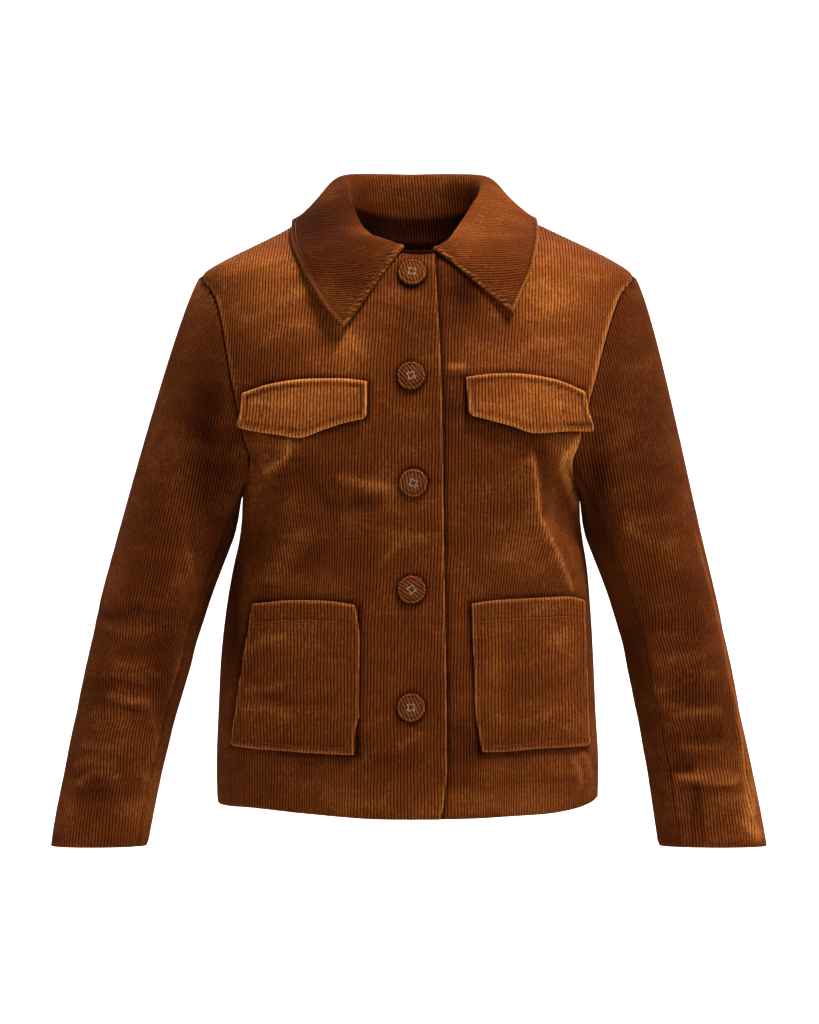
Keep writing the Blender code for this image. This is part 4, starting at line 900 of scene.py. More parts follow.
def net(places, heights, sides, ends, lie=None):
    """Places and heights of a cut piece's points: a grid held inside its sides and its ends."""
    across, up = np.meshgrid(places, heights)
    z = np.clip(up, -NOT_SO_FAR, NOT_SO_FAR)
    for _ in range(NET_STEPS):
        low, high = sides(z)
        strayed = across + wander(across, z)
        u = np.clip(strayed if lie is None else lie(strayed, z), low, high)
        bottom, top = ends(u)
        z = np.clip(up, bottom, top)
    return u, z


def corners(index):
    """Faces of a grid of point numbers, in which neighbours may be the same point."""
    a, b, c, d = index[:-1, :-1], index[:-1, 1:], index[1:, 1:], index[1:, :-1]
    quads = np.stack([a.ravel(), b.ravel(), c.ravel(), d.ravel()], axis=1)
    faces = []
    for quad in quads.tolist():
        face = [p for i, p in enumerate(quad) if p != quad[i - 1]]
        if len(face) > 2 and len(set(face)) == len(face):
            faces.append(face)
    return faces


def rim(faces, kept, inner, points, facing, seam):
    """Faces from the outer sheet's border to the inner one's, which keeps only some of its points.

    At a seam the border first turns in under the piece beside it, as a seam allowance does.
    """
    ways = {(a, b) for face in faces for a, b in zip(face, face[1:] + face[:1])}
    following = {a: b for a, b in ways if (b, a) not in ways}
    before = {b: a for a, b in following.items()}
    folded, added, added_from = {}, [], []
    for p in following:
        if not seam[p]:
            folded[p] = p
            continue
        way = points[following[p]] - points[before[p]]
        out = unit(np.cross(way, facing[p]) + 1e-12)
        folded[p] = len(points) + len(inner) + len(added)
        added.append(points[p] + out * ALLOWANCE[0] - facing[p] * ALLOWANCE[1])
        added_from.append(p)
    strips = []
    for a, b in following.items():
        face = list(dict.fromkeys((b, a, folded[a], folded[b])))
        if len(face) > 2:
            strips.append(face)
    for start in following:
        if start not in kept:
            continue
        chain = [start, following[start]]
        while chain[-1] not in kept:
            chain.append(following[chain[-1]])
        if chain[-1] != start:
            strips.append([folded[p] for p in chain[::-1]] + [inner[start], inner[chain[-1]]])
    return strips, added, added_from


def add_mesh(name, points, faces):
    mesh = bpy.data.meshes.new(name)
    mesh.from_pydata(points, [], faces)
    mesh.shade_smooth()
    piece = bpy.data.objects.new(name, mesh)
    bpy.context.scene.collection.objects.link(piece)
    return piece


def write_value(piece, key, value):
    """What the material reads at each point: a vector or a number."""
    value = np.asarray(value, np.float32)
    kind, field = ("FLOAT_VECTOR", "vector") if value.ndim == 2 else ("FLOAT", "value")
    piece.data.attributes.new(key, kind, "POINT").data.foreach_set(field, value.ravel())


def shell(name, grid, outer, inner, facing, values, coarse, seam):
    """A closed thin shell over a grid whose points may fall together."""
    u, z = grid
    keys = np.round(np.stack([u, z], axis=-1).reshape(-1, 2), 6)
    first, index = np.unique(keys, axis=0, return_index=True, return_inverse=True)[1:]
    index = index.reshape(u.shape)
    few = index[:, coarse]
    kept = np.unique(few)
    inner_number = {int(p): len(first) + n for n, p in enumerate(kept)}
    top, normal = outer.reshape(-1, 3)[first], facing.reshape(-1, 3)[first]
    faces = corners(index)
    back = [[inner_number[p] for p in face] for face in corners(few)]
    a, b, c = (top[[face[i] for face in faces]] for i in range(3))
    if (np.cross(b - a, c - a) * normal[[face[0] for face in faces]]).sum() < 0:
        faces = [face[::-1] for face in faces]
        back = [face[::-1] for face in back]
    seam = seam.reshape(-1)[first]
    strips, added, added_from = rim(faces, set(kept.tolist()), inner_number, top, normal, seam)
    points = np.concatenate([top, inner.reshape(-1, 3)[first][kept], np.reshape(added, (-1, 3))])
    piece = add_mesh(name, points.tolist(), faces + [face[::-1] for face in back] + strips)
    for key, (over, under) in values.items():
        over, under = (part.reshape(-1, *part.shape[2:])[first] for part in (over, under))
        rows = over, under[kept], over[np.array(added_from, int)]
        write_value(piece, key, np.concatenate(rows))
    return piece


def ribbed(node, grid, cloth, surface, height, rises, tone, brushing_and_shading, more=None):
    """Adds a piece of the jacket: corduroy between two rises over its points and normals.

    cloth is the place across and along the cloth, height that of its ribs, and more may hold the
    columns of the inner face, the seams, the way it faces and painted light on its inner face.
    """
    u = grid[0]
    points, normals = surface
    more = more or {}
    outer, inner = (points + normals * np.broadcast_to(rise, u.shape)[..., None] for rise in rises)
    across, up = (np.broadcast_to(part, u.shape) for part in cloth)
    across = across * (np.abs(across) < 1)
    values = {
        "cloth": [np.stack([across, up, part], axis=-1) for part in (height, 0 * u + INSIDE_RIB)],
        "tone": (tone, tone),
        "painted_shading": (brushing_and_shading, brushing_and_shading * np.broadcast_to(more.get("inner_painted_light", 1.0), u.shape)[..., None]),
    }
    coarse = more.get("coarse", some_of(u.shape[1]))
    seam = more.get("seam", np.zeros(u.shape, bool))
    facing = more.get("facing", normals)
    piece = shell(node + "_cloth", grid, outer, inner, facing, values, coarse, seam)
    dress(piece, jacket_cloth, node)


def dress(piece, material, node=None):
    """Gives a piece its material and says what it belongs to."""
    piece.data.materials.append(material)
    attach(piece, "root")
    if node:
        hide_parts(node)


def lathe(distance, radius=ROUND):
    """How far a turned edge falls away, by the distance to the edge."""
    share = np.clip(1 - distance / radius, 0, 1)
    return radius * (1 - np.sqrt(np.maximum(1 - share**2, 0)))


def near(distance, width=SEAM_TONE_WIDTH):
    """1 at an edge or line, falling to 0 over a width."""
    return np.exp(-((distance / width) ** 2))


def dip(distance):
    return DIP * near(distance, DIP_WIDTH)


def groove(distance):
    return STITCH_DEPTH * near(distance, STITCH_WIDTH)


def padding(distance, wide):
    """Extra height of the turned edge between a piece's border and its stitches."""
    return PADDING * np.sin(math.pi * np.clip(distance / wide, 0, 1)) ** 0.7


def outline_distance(x, z, outline):
    """Distance to the nearest side of a patch's outline."""
    nearest = np.full(x.shape, 1.0)
    spots_of = np.array([row[:2] for row in outline] + [row[2:] for row in reversed(outline)])
    for (ax, az), (bx, bz) in zip(spots_of, np.roll(spots_of, -1, axis=0)):
        long = max((bx - ax) ** 2 + (bz - az) ** 2, 1e-12)
        share = np.clip(((x - ax) * (bx - ax) + (z - az) * (bz - az)) / long, 0, 1)
        gap = np.hypot(x - ax - share * (bx - ax), z - az - share * (bz - az))
        nearest = np.minimum(nearest, gap)
    return nearest


def contact_shadow(x, z, side):
    """Painted shadow on a front beside the pieces that lie on it."""
    outlines = (LEFT_FLAP, LEFT_POCKET) if side == LEFT else (RIGHT_FLAP, RIGHT_POCKET)
    beside = [(outline_distance(x * side, z, outline), 1.0) for outline in outlines]
    if side == LEFT:
        beside.append((np.maximum(x - lookup(z, FRONT_EDGE), 0), 1.3))
    else:
        for button_x, button_z, _ in BUTTONS:
            away = np.hypot(x - button_x, z - button_z) - BUTTON_RADIUS
            beside.append((np.abs(away), 0.8))
    return CONTACT_SHADOW_TONE * np.max([near(away, CONTACT_SHADOW_WIDTH * wide) for away, wide in beside], axis=0)


# ---------------------------------------------------------------------------- body panels
def limits(half):
    """Dense tables of a panel's side edge by height, and of its ends by place."""
    z = np.linspace(HEM_LEVEL - 0.010, UNDERARM_Z, 120)
    seam = walk(turn_at_y(np.full(len(z), SIDE_SEAM_Y), z), z, half)
    turns, heights = armhole(half, np.linspace(0, 1, 161))
    low = np.minimum(heights, WALE_LEVEL)
    x = ring(turns, heights)[0]
    turns = np.where(heights > WALE_LEVEL, turn_at_x(x, low, half), turns)
    hole = walk(turns, low, half)
    edge_z = np.concatenate([z, heights[1:]])
    edge = np.concatenate([seam, hole[1:]]) - SEAM / 2

    u = np.linspace(0, edge.max() + 0.01, 500)
    hem_x, top_x = (
        ring(turn_walked(u, level, half), level)[0]
        for level in (np.full(len(u), HEM_LEVEL), np.full(len(u), WALE_LEVEL))
    )
    return edge_z, edge, u, hem_x, top_x


def borders(half, side):
    """Functions for a panel's side edges by height and for its ends by place."""
    edge_z, edge, table_u, hem_x, top_x = limits(half)

    def sides(z):
        high = np.interp(z, edge_z, edge)
        return -past_centre(z, side) if half == "front" else -high, high

    def ends(u):
        low_x = np.interp(np.abs(u), table_u, hem_x) * np.sign(u) * side
        reach = np.interp(np.abs(u), table_u, top_x)
        neck = neck_z(reach * np.sign(u) if half == "front" else reach, half)
        shoulder = shoulder_z(reach) - SEAM / 2
        return hem_z(low_x, half), np.where(reach <= NECK_SIDE_X, neck, shoulder)

    return sides, ends


def panel_rows(step):
    """Heights of a panel's rows, closer round the underarm and up the shoulder."""
    rows = [
        np.arange(-0.608, 0.0, step),
        np.arange(UNDERARM_Z - 0.004, UNDERARM_Z + 0.030, step * 0.4),
        np.arange(-0.066, 0.0, step * 0.5),
    ]
    return with_ends(np.concatenate(rows), 4)


def front(name, side):
    sides, ends = borders("front", side)
    drift = LEFT_DRIFT if side == LEFT else RIGHT_DRIFT

    def drifted(w, z):
        return w - lookup(z, drift) * ease((w - DRIFT_FROM) / DRIFT_OVER)

    if side == LEFT:
        dart_z, dart_x = np.array(DART).T
        level = np.minimum(dart_z, WALE_LEVEL)
        dart_turns = turn_at_x(dart_x - body_size("shift", dart_z), level, "front")
        dart_u = walk(dart_turns, level, "front")
        inner_places = wale_places(-CENTRE_REACH, dart_u.max() + 0.02)[:-1]
        places = np.concatenate([inner_places, wale_places(dart_u.min(), 0.34)[1:]])
        count, total = len(inner_places), len(places)
        coarse = [some_of(count), np.arange(count, total, 4), [total - 1]]
        coarse = np.unique(np.concatenate(coarse))

        def lie(w, z):
            split = np.interp(z, dart_z, dart_u)
            inner = np.where(w <= -1, -FAR, np.minimum(drifted(w, z), split))
            outer = w - lookup(z, LEAN) - lookup(z, drift)
            outer = np.where(w > 1, FAR, np.maximum(outer, split))
            return np.where(np.arange(total) >= count, outer, inner)
    else:
        places = wale_places(-CENTRE_REACH, 0.30)
        coarse = some_of(len(places))

        def lie(w, z):
            return np.where(np.abs(w) > 1, w, drifted(w, z))

    u, z = net(places, panel_rows(ROW), sides, ends, lie)
    low, high = sides(z)
    bottom, top = ends(u)
    side_edge = high - u
    seam_edge = np.minimum(side_edge, top - z)
    at_hole = ease((z - UNDERARM_Z) / 0.01) * (side_edge < 0.02)
    at_hole = at_hole * ease((SHOULDER_TIP_Z - 0.004 - z) / 0.01)
    seam = (side_edge < ON_SEAM) | ((top - z < ON_SEAM) & (z > SHOULDER_TIP_Z - 0.001))
    inside = (np.abs(places) < 1) & (u > low + ON_EDGE) & (u < high - ON_EDGE)
    if side == LEFT:
        off_dart = np.abs(u - np.interp(z, dart_z, dart_u))
        inside = inside * np.where(off_dart > ON_EDGE, 1.0, DART_RIB)
    height = rib(places, z) * inside
    lift = front_lift(u) if side == RIGHT else 0.0
    over = np.where(u < 0, -side, side)
    points, normals = body_point(panel_turns(u, z, "front"), z, over, lift)
    crease = MM * creases(points, BODY_CREASES)
    rolled = lathe(side_edge, HEM_ROUND) - padding(side_edge, HOLE_TURNED)
    drop = lathe(u - low) + lathe(z - bottom, HEM_ROUND)
    drop += dip(seam_edge) * (1 - at_hole) + rolled * at_hole
    # Tone: painted light and shade of the creases, and the front edge lighter by wear and a painted
    # highlight.
    tone = crease_tone(crease) + EDGE_TONE * near(u - low, 0.0020)
    # Painted highlight on the rolled armhole edge.
    tone += HOLE_EDGE_HIGHLIGHT[side] * near(side_edge, 0.0042) * at_hole
    # Painted shade along the seams.
    tone += SEAM_SHADE * near(seam_edge) * (1 - at_hole)
    # Painted shade along the shoulder seam.
    on_shoulder = ease((np.abs(points[..., 0]) - 0.090) / 0.010)
    tone += SHOULDER_SEAM_SHADE * near(top - z) * on_shoulder
    # Painted highlights and shade along creases and folds.
    tone += creases(points, BODY_STROKES)
    # Painted contact shadows beside the flaps, pockets, buttons and the upper front's edge.
    tone += contact_shadow(points[..., 0], points[..., 2], side)
    rises = (GROUND + WALE_HEIGHT * height + crease - drop, INSIDE + crease)
    more = {"coarse": coarse, "seam": seam & (z > bottom + HEM_FREE)}
    # Broad painted light and shade of the fronts.
    brushing_and_shading = painted_shading(points, BODY_PAINTED_SHADING)
    surface = points, normals
    ribbed(name, (u, z), (places, z), surface, height, rises, tone, brushing_and_shading, more)


def back(name):
    sides, ends = borders("back", LEFT)
    places = wale_places(-0.30, 0.30)
    u, z = net(places, panel_rows(BACK_ROW), sides, ends)
    low, high = sides(z)
    bottom, top = ends(u)
    seam_edge = np.minimum(np.minimum(high - u, u - low), top - z)
    height = rib(places, z) * ((u > low + ON_EDGE) & (u < high - ON_EDGE))
    points, normals = body_point(panel_turns(u, z, "back"), z, np.where(u < 0, RIGHT, LEFT))
    crease = MM * creases(points, BACK_CREASES)
    drop = lathe(z - bottom, HEM_ROUND) + dip(seam_edge)
    rises = (GROUND + WALE_HEIGHT * height + crease - drop, INSIDE + crease)
    # Painted shade along the seams, with the creases' painted light and shade.
    tone = crease_tone(crease) + SEAM_SHADE * near(seam_edge)
    seam = (seam_edge < ON_SEAM) & (z > bottom + HEM_FREE) & (np.abs(u) > 0.07)
    # Painted light on the strip below the collar's stand, seen through the neck, which lies in
    # shade.
    inner_painted_light = 1 + 2.6 * np.exp(-(((z + 0.045) / 0.022) ** 2) - (u / 0.060) ** 2)
    # Broad painted light and shade of the back, a little darker overall.
    brushing_and_shading = painted_shading(points, BACK_PAINTED_SHADING, 0.9)
    more = {"seam": seam, "inner_painted_light": inner_painted_light}
    surface = points, normals
    ribbed(name, (u, z), (places, z), surface, height, rises, tone, brushing_and_shading, more)


# ---------------------------------------------------------------------------- sleeves
def sleeve_size(name, z):
    rows = SLEEVE[::-1]
    return smooth(column(rows, SLEEVE_COLUMNS, "z"), column(rows, SLEEVE_COLUMNS, name), z)


def sleeve_ring(angle, z, side):
    """A point of the sleeve's level section. The angle is 0 outside and 90 degrees in front."""
    word = "left" if side == LEFT else "right"
    x = sleeve_size(word + "_x", z) + sleeve_size(word + "_half", z) * np.cos(angle)
    y = sleeve_size("y", z) - sleeve_size("half_depth", z) * np.sin(angle)
    fold = np.zeros(np.shape(angle))
    for middle, height, span, tall, depth in SLEEVE_FOLDS:
        off = (np.degrees(angle) - middle + 180) % 360 - 180
        fold += depth * np.exp(-((off / span) ** 2) - ((z - height) / tall) ** 2)
    return np.stack([x + fold * np.cos(angle), y - fold * np.sin(angle), z + 0 * x], axis=-1)


def sleeve(side, steps, cap_rows, arm_rows):
    """Grids of the sleeve's outer points and normals, rows from armhole to cuff, closed round."""
    front_turn, front_z = armhole("front", steps)
    back_turn, back_z = armhole("back", steps)
    turns = np.concatenate([front_turn[::-1], back_turn[1:]])
    heights = np.concatenate([front_z[::-1], back_z[1:]])
    hole, body_normal = body_point(turns, heights, side)
    hole[:, 0] *= side
    body_normal[:, 0] *= side
    hole_y = (hole[:, 1] - CAP_CENTRE_YZ[0]) / CAP_RADII_YZ[0]
    hole_z = (hole[:, 2] - CAP_CENTRE_YZ[1]) / CAP_RADII_YZ[1]
    angle = np.unwrap(np.arctan2(-hole_y, hole_z))
    angle -= angle[0]
    angle *= 2 * math.pi / angle[-1]

    top = np.full(len(angle), SLEEVE[0][0])
    joined = sleeve_ring(angle, top, side)
    below = sleeve_ring(angle, top - CAP_BELOW, side)
    out = CAP_OUT[0] + CAP_OUT[1] * np.cos(angle)
    down = CAP_DOWN[0] - CAP_DOWN[1] * np.cos(angle)
    start = unit(np.stack([out, -CAP_FRONT * np.sin(angle), -down], axis=-1))
    reach = np.linalg.norm(joined - hole, axis=1, keepdims=True)
    start *= CAP_START * np.clip(reach / CAP_LENGTH, *CAP_PULL)
    end = unit(below - joined) * np.minimum(CAP_END, reach * CAP_END_SHARE)
    rows = [hermite(t, hole, start, joined, end) for t in np.linspace(0, 1, cap_rows + 1)[:-1]]
    cuff = SLEEVE[-1][0] + CUFF_RISE * np.sin(angle)
    for t in np.linspace(0, 1, arm_rows + 1):
        rows.append(sleeve_ring(angle, top + (cuff - top) * t, side))
    outer = np.array(rows)
    outer[:, -1] = outer[:, 0]
    around = np.roll(outer[:, :-1], -1, axis=1) - np.roll(outer[:, :-1], 1, axis=1)
    downward = np.gradient(outer[:, :-1], axis=0)
    normal = unit(np.cross(downward, around))
    outward = outer[:, :-1] - outer[:, :-1].mean(axis=1, keepdims=True)
    normal *= np.sign((normal * outward).sum())
    normal = np.concatenate([normal, normal[:, :1]], axis=1)
    both = unit(normal[0] + body_normal)
    alike = (normal[0] * body_normal).sum(axis=1, keepdims=True)
    agree = ease((alike - CAP_AGREES[0]) / CAP_AGREES[1])
    normal[0] = unit(normal[0] * (1 - agree) + both * agree)
    outer[0] += unit(outer[1] - outer[0]) * SEAM
    outer[0] += body_normal * UNDERARM_GAP * (1 - agree)
    return outer, normal, angle


class Sections:
    """Level sections of a sleeve, walked from its outer line: towards the front is positive."""

    def __init__(self, side, low_angle, high_angle):
        outer, normal, angle = sleeve(side, HOLE_STEPS, CAP_FINE, ARM_FINE)
        self.side, self.angles = side, (low_angle, high_angle)
        self.levels = np.linspace(SLEEVE[-1][0] - CUFF_RISE, SHOULDER_TIP_Z - 0.0002, SECTIONS)
        half = len(angle) // 2
        turned = np.concatenate([angle[half:-1] - 2 * math.pi, angle[: half + 1]])
        upward = np.concatenate([outer, normal], axis=2)[::-1]
        upward = np.concatenate([upward[:, half:-1], upward[:, : half + 1]], axis=1)
        hole_z = outer[0, :, 2]
        walks, rows = [], []
        for z in self.levels:
            lines = upward.transpose(1, 0, 2)
            data = [spots(min(z, line[-1, 2]), line[:, 2], line) for line in lines]
            front_end = np.interp(-z, -hole_z[: half + 1], angle[: half + 1])
            rear_end = np.interp(-z, -hole_z[half:][::-1], 2 * math.pi - angle[half:][::-1])
            low, high = max(low_angle, -rear_end), min(high_angle, front_end)
            angles = np.linspace(low, high, SECTION_STEPS)
            fine = spots(angles, turned, np.array(data))
            walked = lengths(fine[:, :3])
            walks.append(walked - np.interp(0.0, angles, walked))
            rows.append(np.concatenate([fine[:, :3], unit(fine[:, 3:])], axis=1))
        self.walks, self.rows = np.array(walks), np.array(rows)
        self.low, self.high = self.walks[:, 0], self.walks[:, -1]

    def sides(self, z):
        top = z >= self.levels[-1]
        low = np.where(top, self.low.min(), np.interp(z, self.levels, self.low))
        high = np.where(top, self.high.max(), np.interp(z, self.levels, self.high))
        return low + SEAM / 2, high - SEAM / 2

    def ends(self, u):
        highest = np.maximum.accumulate(self.high[::-1])
        lowest = np.minimum.accumulate(self.low[::-1])
        levels = self.levels[::-1]
        top = np.where(u >= 0, np.interp(u, highest, levels), np.interp(-u, -lowest, levels))
        share = np.interp(u, self.walks[0], np.linspace(*self.angles, SECTION_STEPS))
        return SLEEVE[-1][0] + CUFF_RISE * np.sin(share), top

    def at(self, u, z):
        """Points and normals at places walked round the sections."""
        shape, u, z = u.shape, u.ravel(), z.ravel()
        last = len(self.levels) - 1
        place = np.clip(np.interp(z, self.levels, np.arange(last + 1)), 0, last - 0.001)
        lower = place.astype(int)
        share = (place - lower)[:, None]
        result = np.empty((len(u), 6))
        for n in np.unique(lower):
            picked = np.flatnonzero(lower == n)
            below, above = (spots(u[picked], self.walks[k], self.rows[k]) for k in (n, n + 1))
            result[picked] = below * (1 - share[picked]) + above * share[picked]
        result[:, 2] = z
        points, normals = result[:, :3], unit(result[:, 3:])
        points[:, 0] *= self.side
        normals[:, 0] *= self.side
        return points.reshape(*shape, 3), normals.reshape(*shape, 3)


def seam_angles(side):
    angle = sleeve(side, ARMHOLE_STEPS, 2, 2)[2]
    front_seam = LEFT_FRONT_SEAM_ANGLE if side == LEFT else RIGHT_FRONT_SEAM_ANGLE
    return [angle[np.argmin(np.abs(angle - seam))] for seam in (front_seam, BACK_SEAM_ANGLE)]


def top_sleeve(name, side, table, strokes):
    front_seam, rear_seam = seam_angles(side)
    sections = Sections(side, rear_seam - 2 * math.pi, front_seam)
    near_top = [SHOULDER_TIP_Z - 0.0004 - 0.0012 * n * n for n in range(1, 5)]
    rows = with_ends(near_top + list(np.arange(-0.640, -0.090, ROW)), 5)
    places = wale_places(sections.low.min(), sections.high.max())
    u, z = net(places, rows, sections.sides, sections.ends)
    points, normals = sections.at(u, z)
    low, high = sections.sides(z)
    bottom, top = sections.ends(u)
    seam_edge = np.minimum(np.minimum(u - low, high - u), top - z)
    height = rib(places, z) * ((u > low + ON_EDGE) & (u < high - ON_EDGE))
    in_front, behind = (ease(way * normals[..., 1] * 2.5 + 0.3) for way in (-1, 1))
    crease = SLEEVES_CREASE_MORE * MM * creases(points, table) * in_front
    crease += MM * creases(points, BEHIND) * behind
    cap_edge = np.where(z > -0.30, np.minimum(seam_edge, 0.02), 0.02)
    gathers = GATHER * np.sin(2 * math.pi * u / GATHER_EVERY)
    crease += gathers * near(cap_edge, GATHER_REACH) * ease((z + 0.18) / 0.05)
    on_cap = ease((z - UNDERARM_Z) / 0.03)
    drop = lathe(z - bottom, CUFF_ROUND) + dip(seam_edge) * (1 - 0.95 * on_cap)
    # Painted shade along the sleeve's lower seams, with the creases' painted light and shade.
    tone = crease_tone(crease) - 0.3 * near(seam_edge, 0.002) * (1 - on_cap)
    # Painted highlights and shade along the sleeve's creases.
    tone += creases(points, strokes) * in_front
    rises = (GROUND + WALE_HEIGHT * height + crease - drop, INSIDE + crease)
    # Broad painted light and shade of the sleeve, darker overall.
    brushing_and_shading = painted_shading(points, SLEEVE_PAINTED_SHADING, SLEEVE_SHADE)
    more = {"seam": (seam_edge < ON_SEAM) & (z > bottom + HEM_FREE)}
    surface, hung = (points, normals), ["back_cloth"]
    ribbed(name, (u, z), (places, z), surface, height, rises, tone, brushing_and_shading, more)


def under_sleeve(name, side):
    """Hardly seen, so its ribs keep their share of its width instead of their own."""
    outer, normal, angle = sleeve(side, HOLE_STEPS, *UNDER_ROWS)
    angles = np.linspace(*seam_angles(side), SECTION_STEPS)
    shares = (np.arange(UNDER_WALES)[:, None] + WALE_PLACES).ravel() / UNDER_WALES
    shares = np.append(shares, 1.0)
    rows = []
    for line in np.concatenate([outer, normal], axis=2):
        fine = spots(angles, angle, line)
        walked = lengths(fine[:, :3])
        rows.append(spots(shares * walked[-1], walked, fine))
    rows = np.array(rows)
    points, normals = rows[..., :3], unit(rows[..., 3:])
    points[..., 0] *= side
    normals[..., 0] *= side
    cloth = shares * UNDER_WALES * WALE, points[..., 2]
    u, z = np.meshgrid(shares, np.linspace(0, UNDER_LONG, len(outer)))
    height = rib(cloth[0] + 1e-9, cloth[1]) * (u > 0) * (u < 1)
    drop = dip(np.minimum(u, 1 - u) * UNDER_WIDE) + dip(z) + lathe(UNDER_LONG - z, CUFF_ROUND)
    rises = (GROUND + WALE_HEIGHT * height - drop, INSIDE)
    # The under sleeve painted darker still, as shade.
    brushing_and_shading = painted_shading(points, SLEEVE_PAINTED_SHADING, SLEEVE_SHADE * 0.8)
    at_seam = (np.minimum(u, 1 - u) < ON_SEAM) | (z < ON_SEAM)
    coarse = np.unique(np.append(np.arange(0, len(shares), 4), len(shares) - 1))
    more = {"coarse": coarse, "seam": at_seam & (z < UNDER_LONG - HEM_FREE)}
    surface, hung = (points, normals), ["back_cloth"]
    ribbed(name, (u, z), cloth, surface, height, rises, 0 * u, brushing_and_shading, more)


# ---------------------------------------------------------------------------- collar
def collar_rows():
    """Neck, fold, edge, facing and roll at each row, from the wearer's right end to the left."""
    rows = []
    for side, half_rows in ((RIGHT, COLLAR_RIGHT[:0:-1]), (LEFT, COLLAR_LEFT)):
        for neck_x, half, fold, edge, facing, roll in half_rows:
            z = neck_z(neck_x, half)
            turn = math.pi / 2 if neck_x == NECK_SIDE_X else turn_at_x(neck_x, z, half)
            neck = body_point(turn, z, side)[0]
            flip = np.array((side, 1, 1))
            out = np.array((math.cos(math.radians(facing)), math.sin(math.radians(facing)), 0))
            rows.append(np.concatenate([neck, fold * flip, edge * flip, out * flip, [roll]]))
    return np.array(rows)


def body_field(points):
    """A value that is 1 on the body and more outside it, and how it grows."""
    z = np.minimum(points[..., 2], BODY_TOP)
    front = points[..., 1] < 0
    power = power_at(front, z)
    slope = np.zeros(points.shape)
    value = np.maximum(points[..., 2] - BODY_TOP, 0) / ABOVE_TOP
    for axis, names in enumerate((("half_width", "half_width"), ("front", "back"))):
        away = points[..., axis] - (body_size("shift", z) if axis == 0 else 0.0)
        size, growing = (of_half(front, *names, z, value_at) for value_at in (body_size, growth))
        share = np.abs(away) / size
        value += share**power
        slope[..., axis] = power * share ** (power - 1) * np.sign(away) / size
        slope[..., 2] -= power * share**power * growing / size
    return value, slope


def clear_of_body(points, need):
    """Moves points out along the body's normal until each is this far from it."""
    for _ in range(CLEARING_STEPS):
        value, slope = body_field(points)
        steep = np.maximum(np.linalg.norm(slope, axis=-1), 1.0)
        short = np.maximum(need - (value - 1) / steep, 0)
        points = points + slope * (short / steep)[..., None]
    return points


def rest(points, share):
    """How far the collar stays from the body: share is 0 to 1 on the stand, 1 to 2 on the fall."""
    over_neck = points[..., 2] - neck_z(np.abs(points[..., 0]), "front") - NECK_MARGIN
    need = SEAM_REST + (COLLAR_REST - SEAM_REST) * ease(share)
    need += FALL_OVER_STAND * ease((share - 0.7) / 0.3) * ease((1.5 - share) / 0.3)
    need += np.where(points[..., 0] < 0, front_lift(-points[..., 0]), 0.0)
    x, z = BUTTONS[0][:2]
    away = np.hypot(points[..., 0] - x, points[..., 2] - z) - BUTTON_RADIUS
    past_button = ease(1 - away / BUTTON_CLEAR) * ease((share - 0.3) * 2)
    need += (BUTTON_HEIGHT + BUTTON_SINK) * past_button
    return need - NECK_FREEDOM * np.maximum(over_neck, 0)


def collar_sheet():
    """Points of the collar's underside, and normals that point to the upper layer."""
    rows = collar_rows()
    steps = np.linspace(0, len(rows) - 1, (len(rows) - 1) * COLLAR_ALONG + 1)
    places = np.arange(len(rows))
    fine = np.stack([smooth(places, values, steps, False) for values in rows.T], axis=1)
    neck, fold, edge, out, roll = np.split(fine, (3, 6, 9, 12), axis=1)
    out = unit(out)
    rise, drop = fold - neck, edge - fold
    neck = neck + unit(rise) * STAND_START
    tall = np.linalg.norm(rise, axis=1, keepdims=True)
    wide = np.linalg.norm(drop, axis=1, keepdims=True)
    over = out * np.minimum(2 * np.sqrt(tall * roll), MOST_ROLL * tall)
    past = out * 2 * np.sqrt(wide * roll)
    even = np.linspace(0, 1, FOLD_SAMPLES + 1)
    fall = even[1:] ** SAMPLES_CLOSER
    sheet = [hermite(t, neck, rise, fold, over) for t in 1 - (1 - even) ** SAMPLES_CLOSER]
    sheet += [hermite(t, fold, past, edge, drop) for t in fall]
    share = np.concatenate([even, 1 + fall])[:, None] * np.ones(len(fine))
    sheet = np.array(sheet)
    sheet = clear_of_body(sheet, rest(sheet, share))
    sheet = np.stack([collar_section(section) for section in sheet.transpose(1, 0, 2)], axis=1)
    normal = unit(np.cross(np.gradient(sheet, axis=0), np.gradient(sheet, axis=1)))
    return sheet, normal * (-1 if (normal[-2] * out).sum() < 0 else 1)


def collar_section(section):
    """A section at the places where the collar gets its points, its fold made soft."""
    walked = lengths(section)
    tall = walked[FOLD_SAMPLES]
    wide = walked[-1] - tall
    down = (1 - np.linspace(0, 1, STAND_ROWS + 1)) ** SAMPLES_CLOSER
    out = np.linspace(0, 1, FALL_ROWS + 1)[1:] ** SAMPLES_CLOSER
    close = np.arange(1, EDGE_ROWS + 1) * MM
    places = [tall * (1 - down), tall + (wide - close[-1]) * out, walked[-1] - close[-1] + close]
    places = np.concatenate(places)
    softness = np.minimum(FOLD_SOFTNESS, np.minimum(places, walked[-1] - places) / 2)
    parts = [
        weight * spots(places + off * softness, walked, section)
        for off, weight in zip(SOFT_STEPS, SOFT_WEIGHTS)
    ]
    return sum(parts)


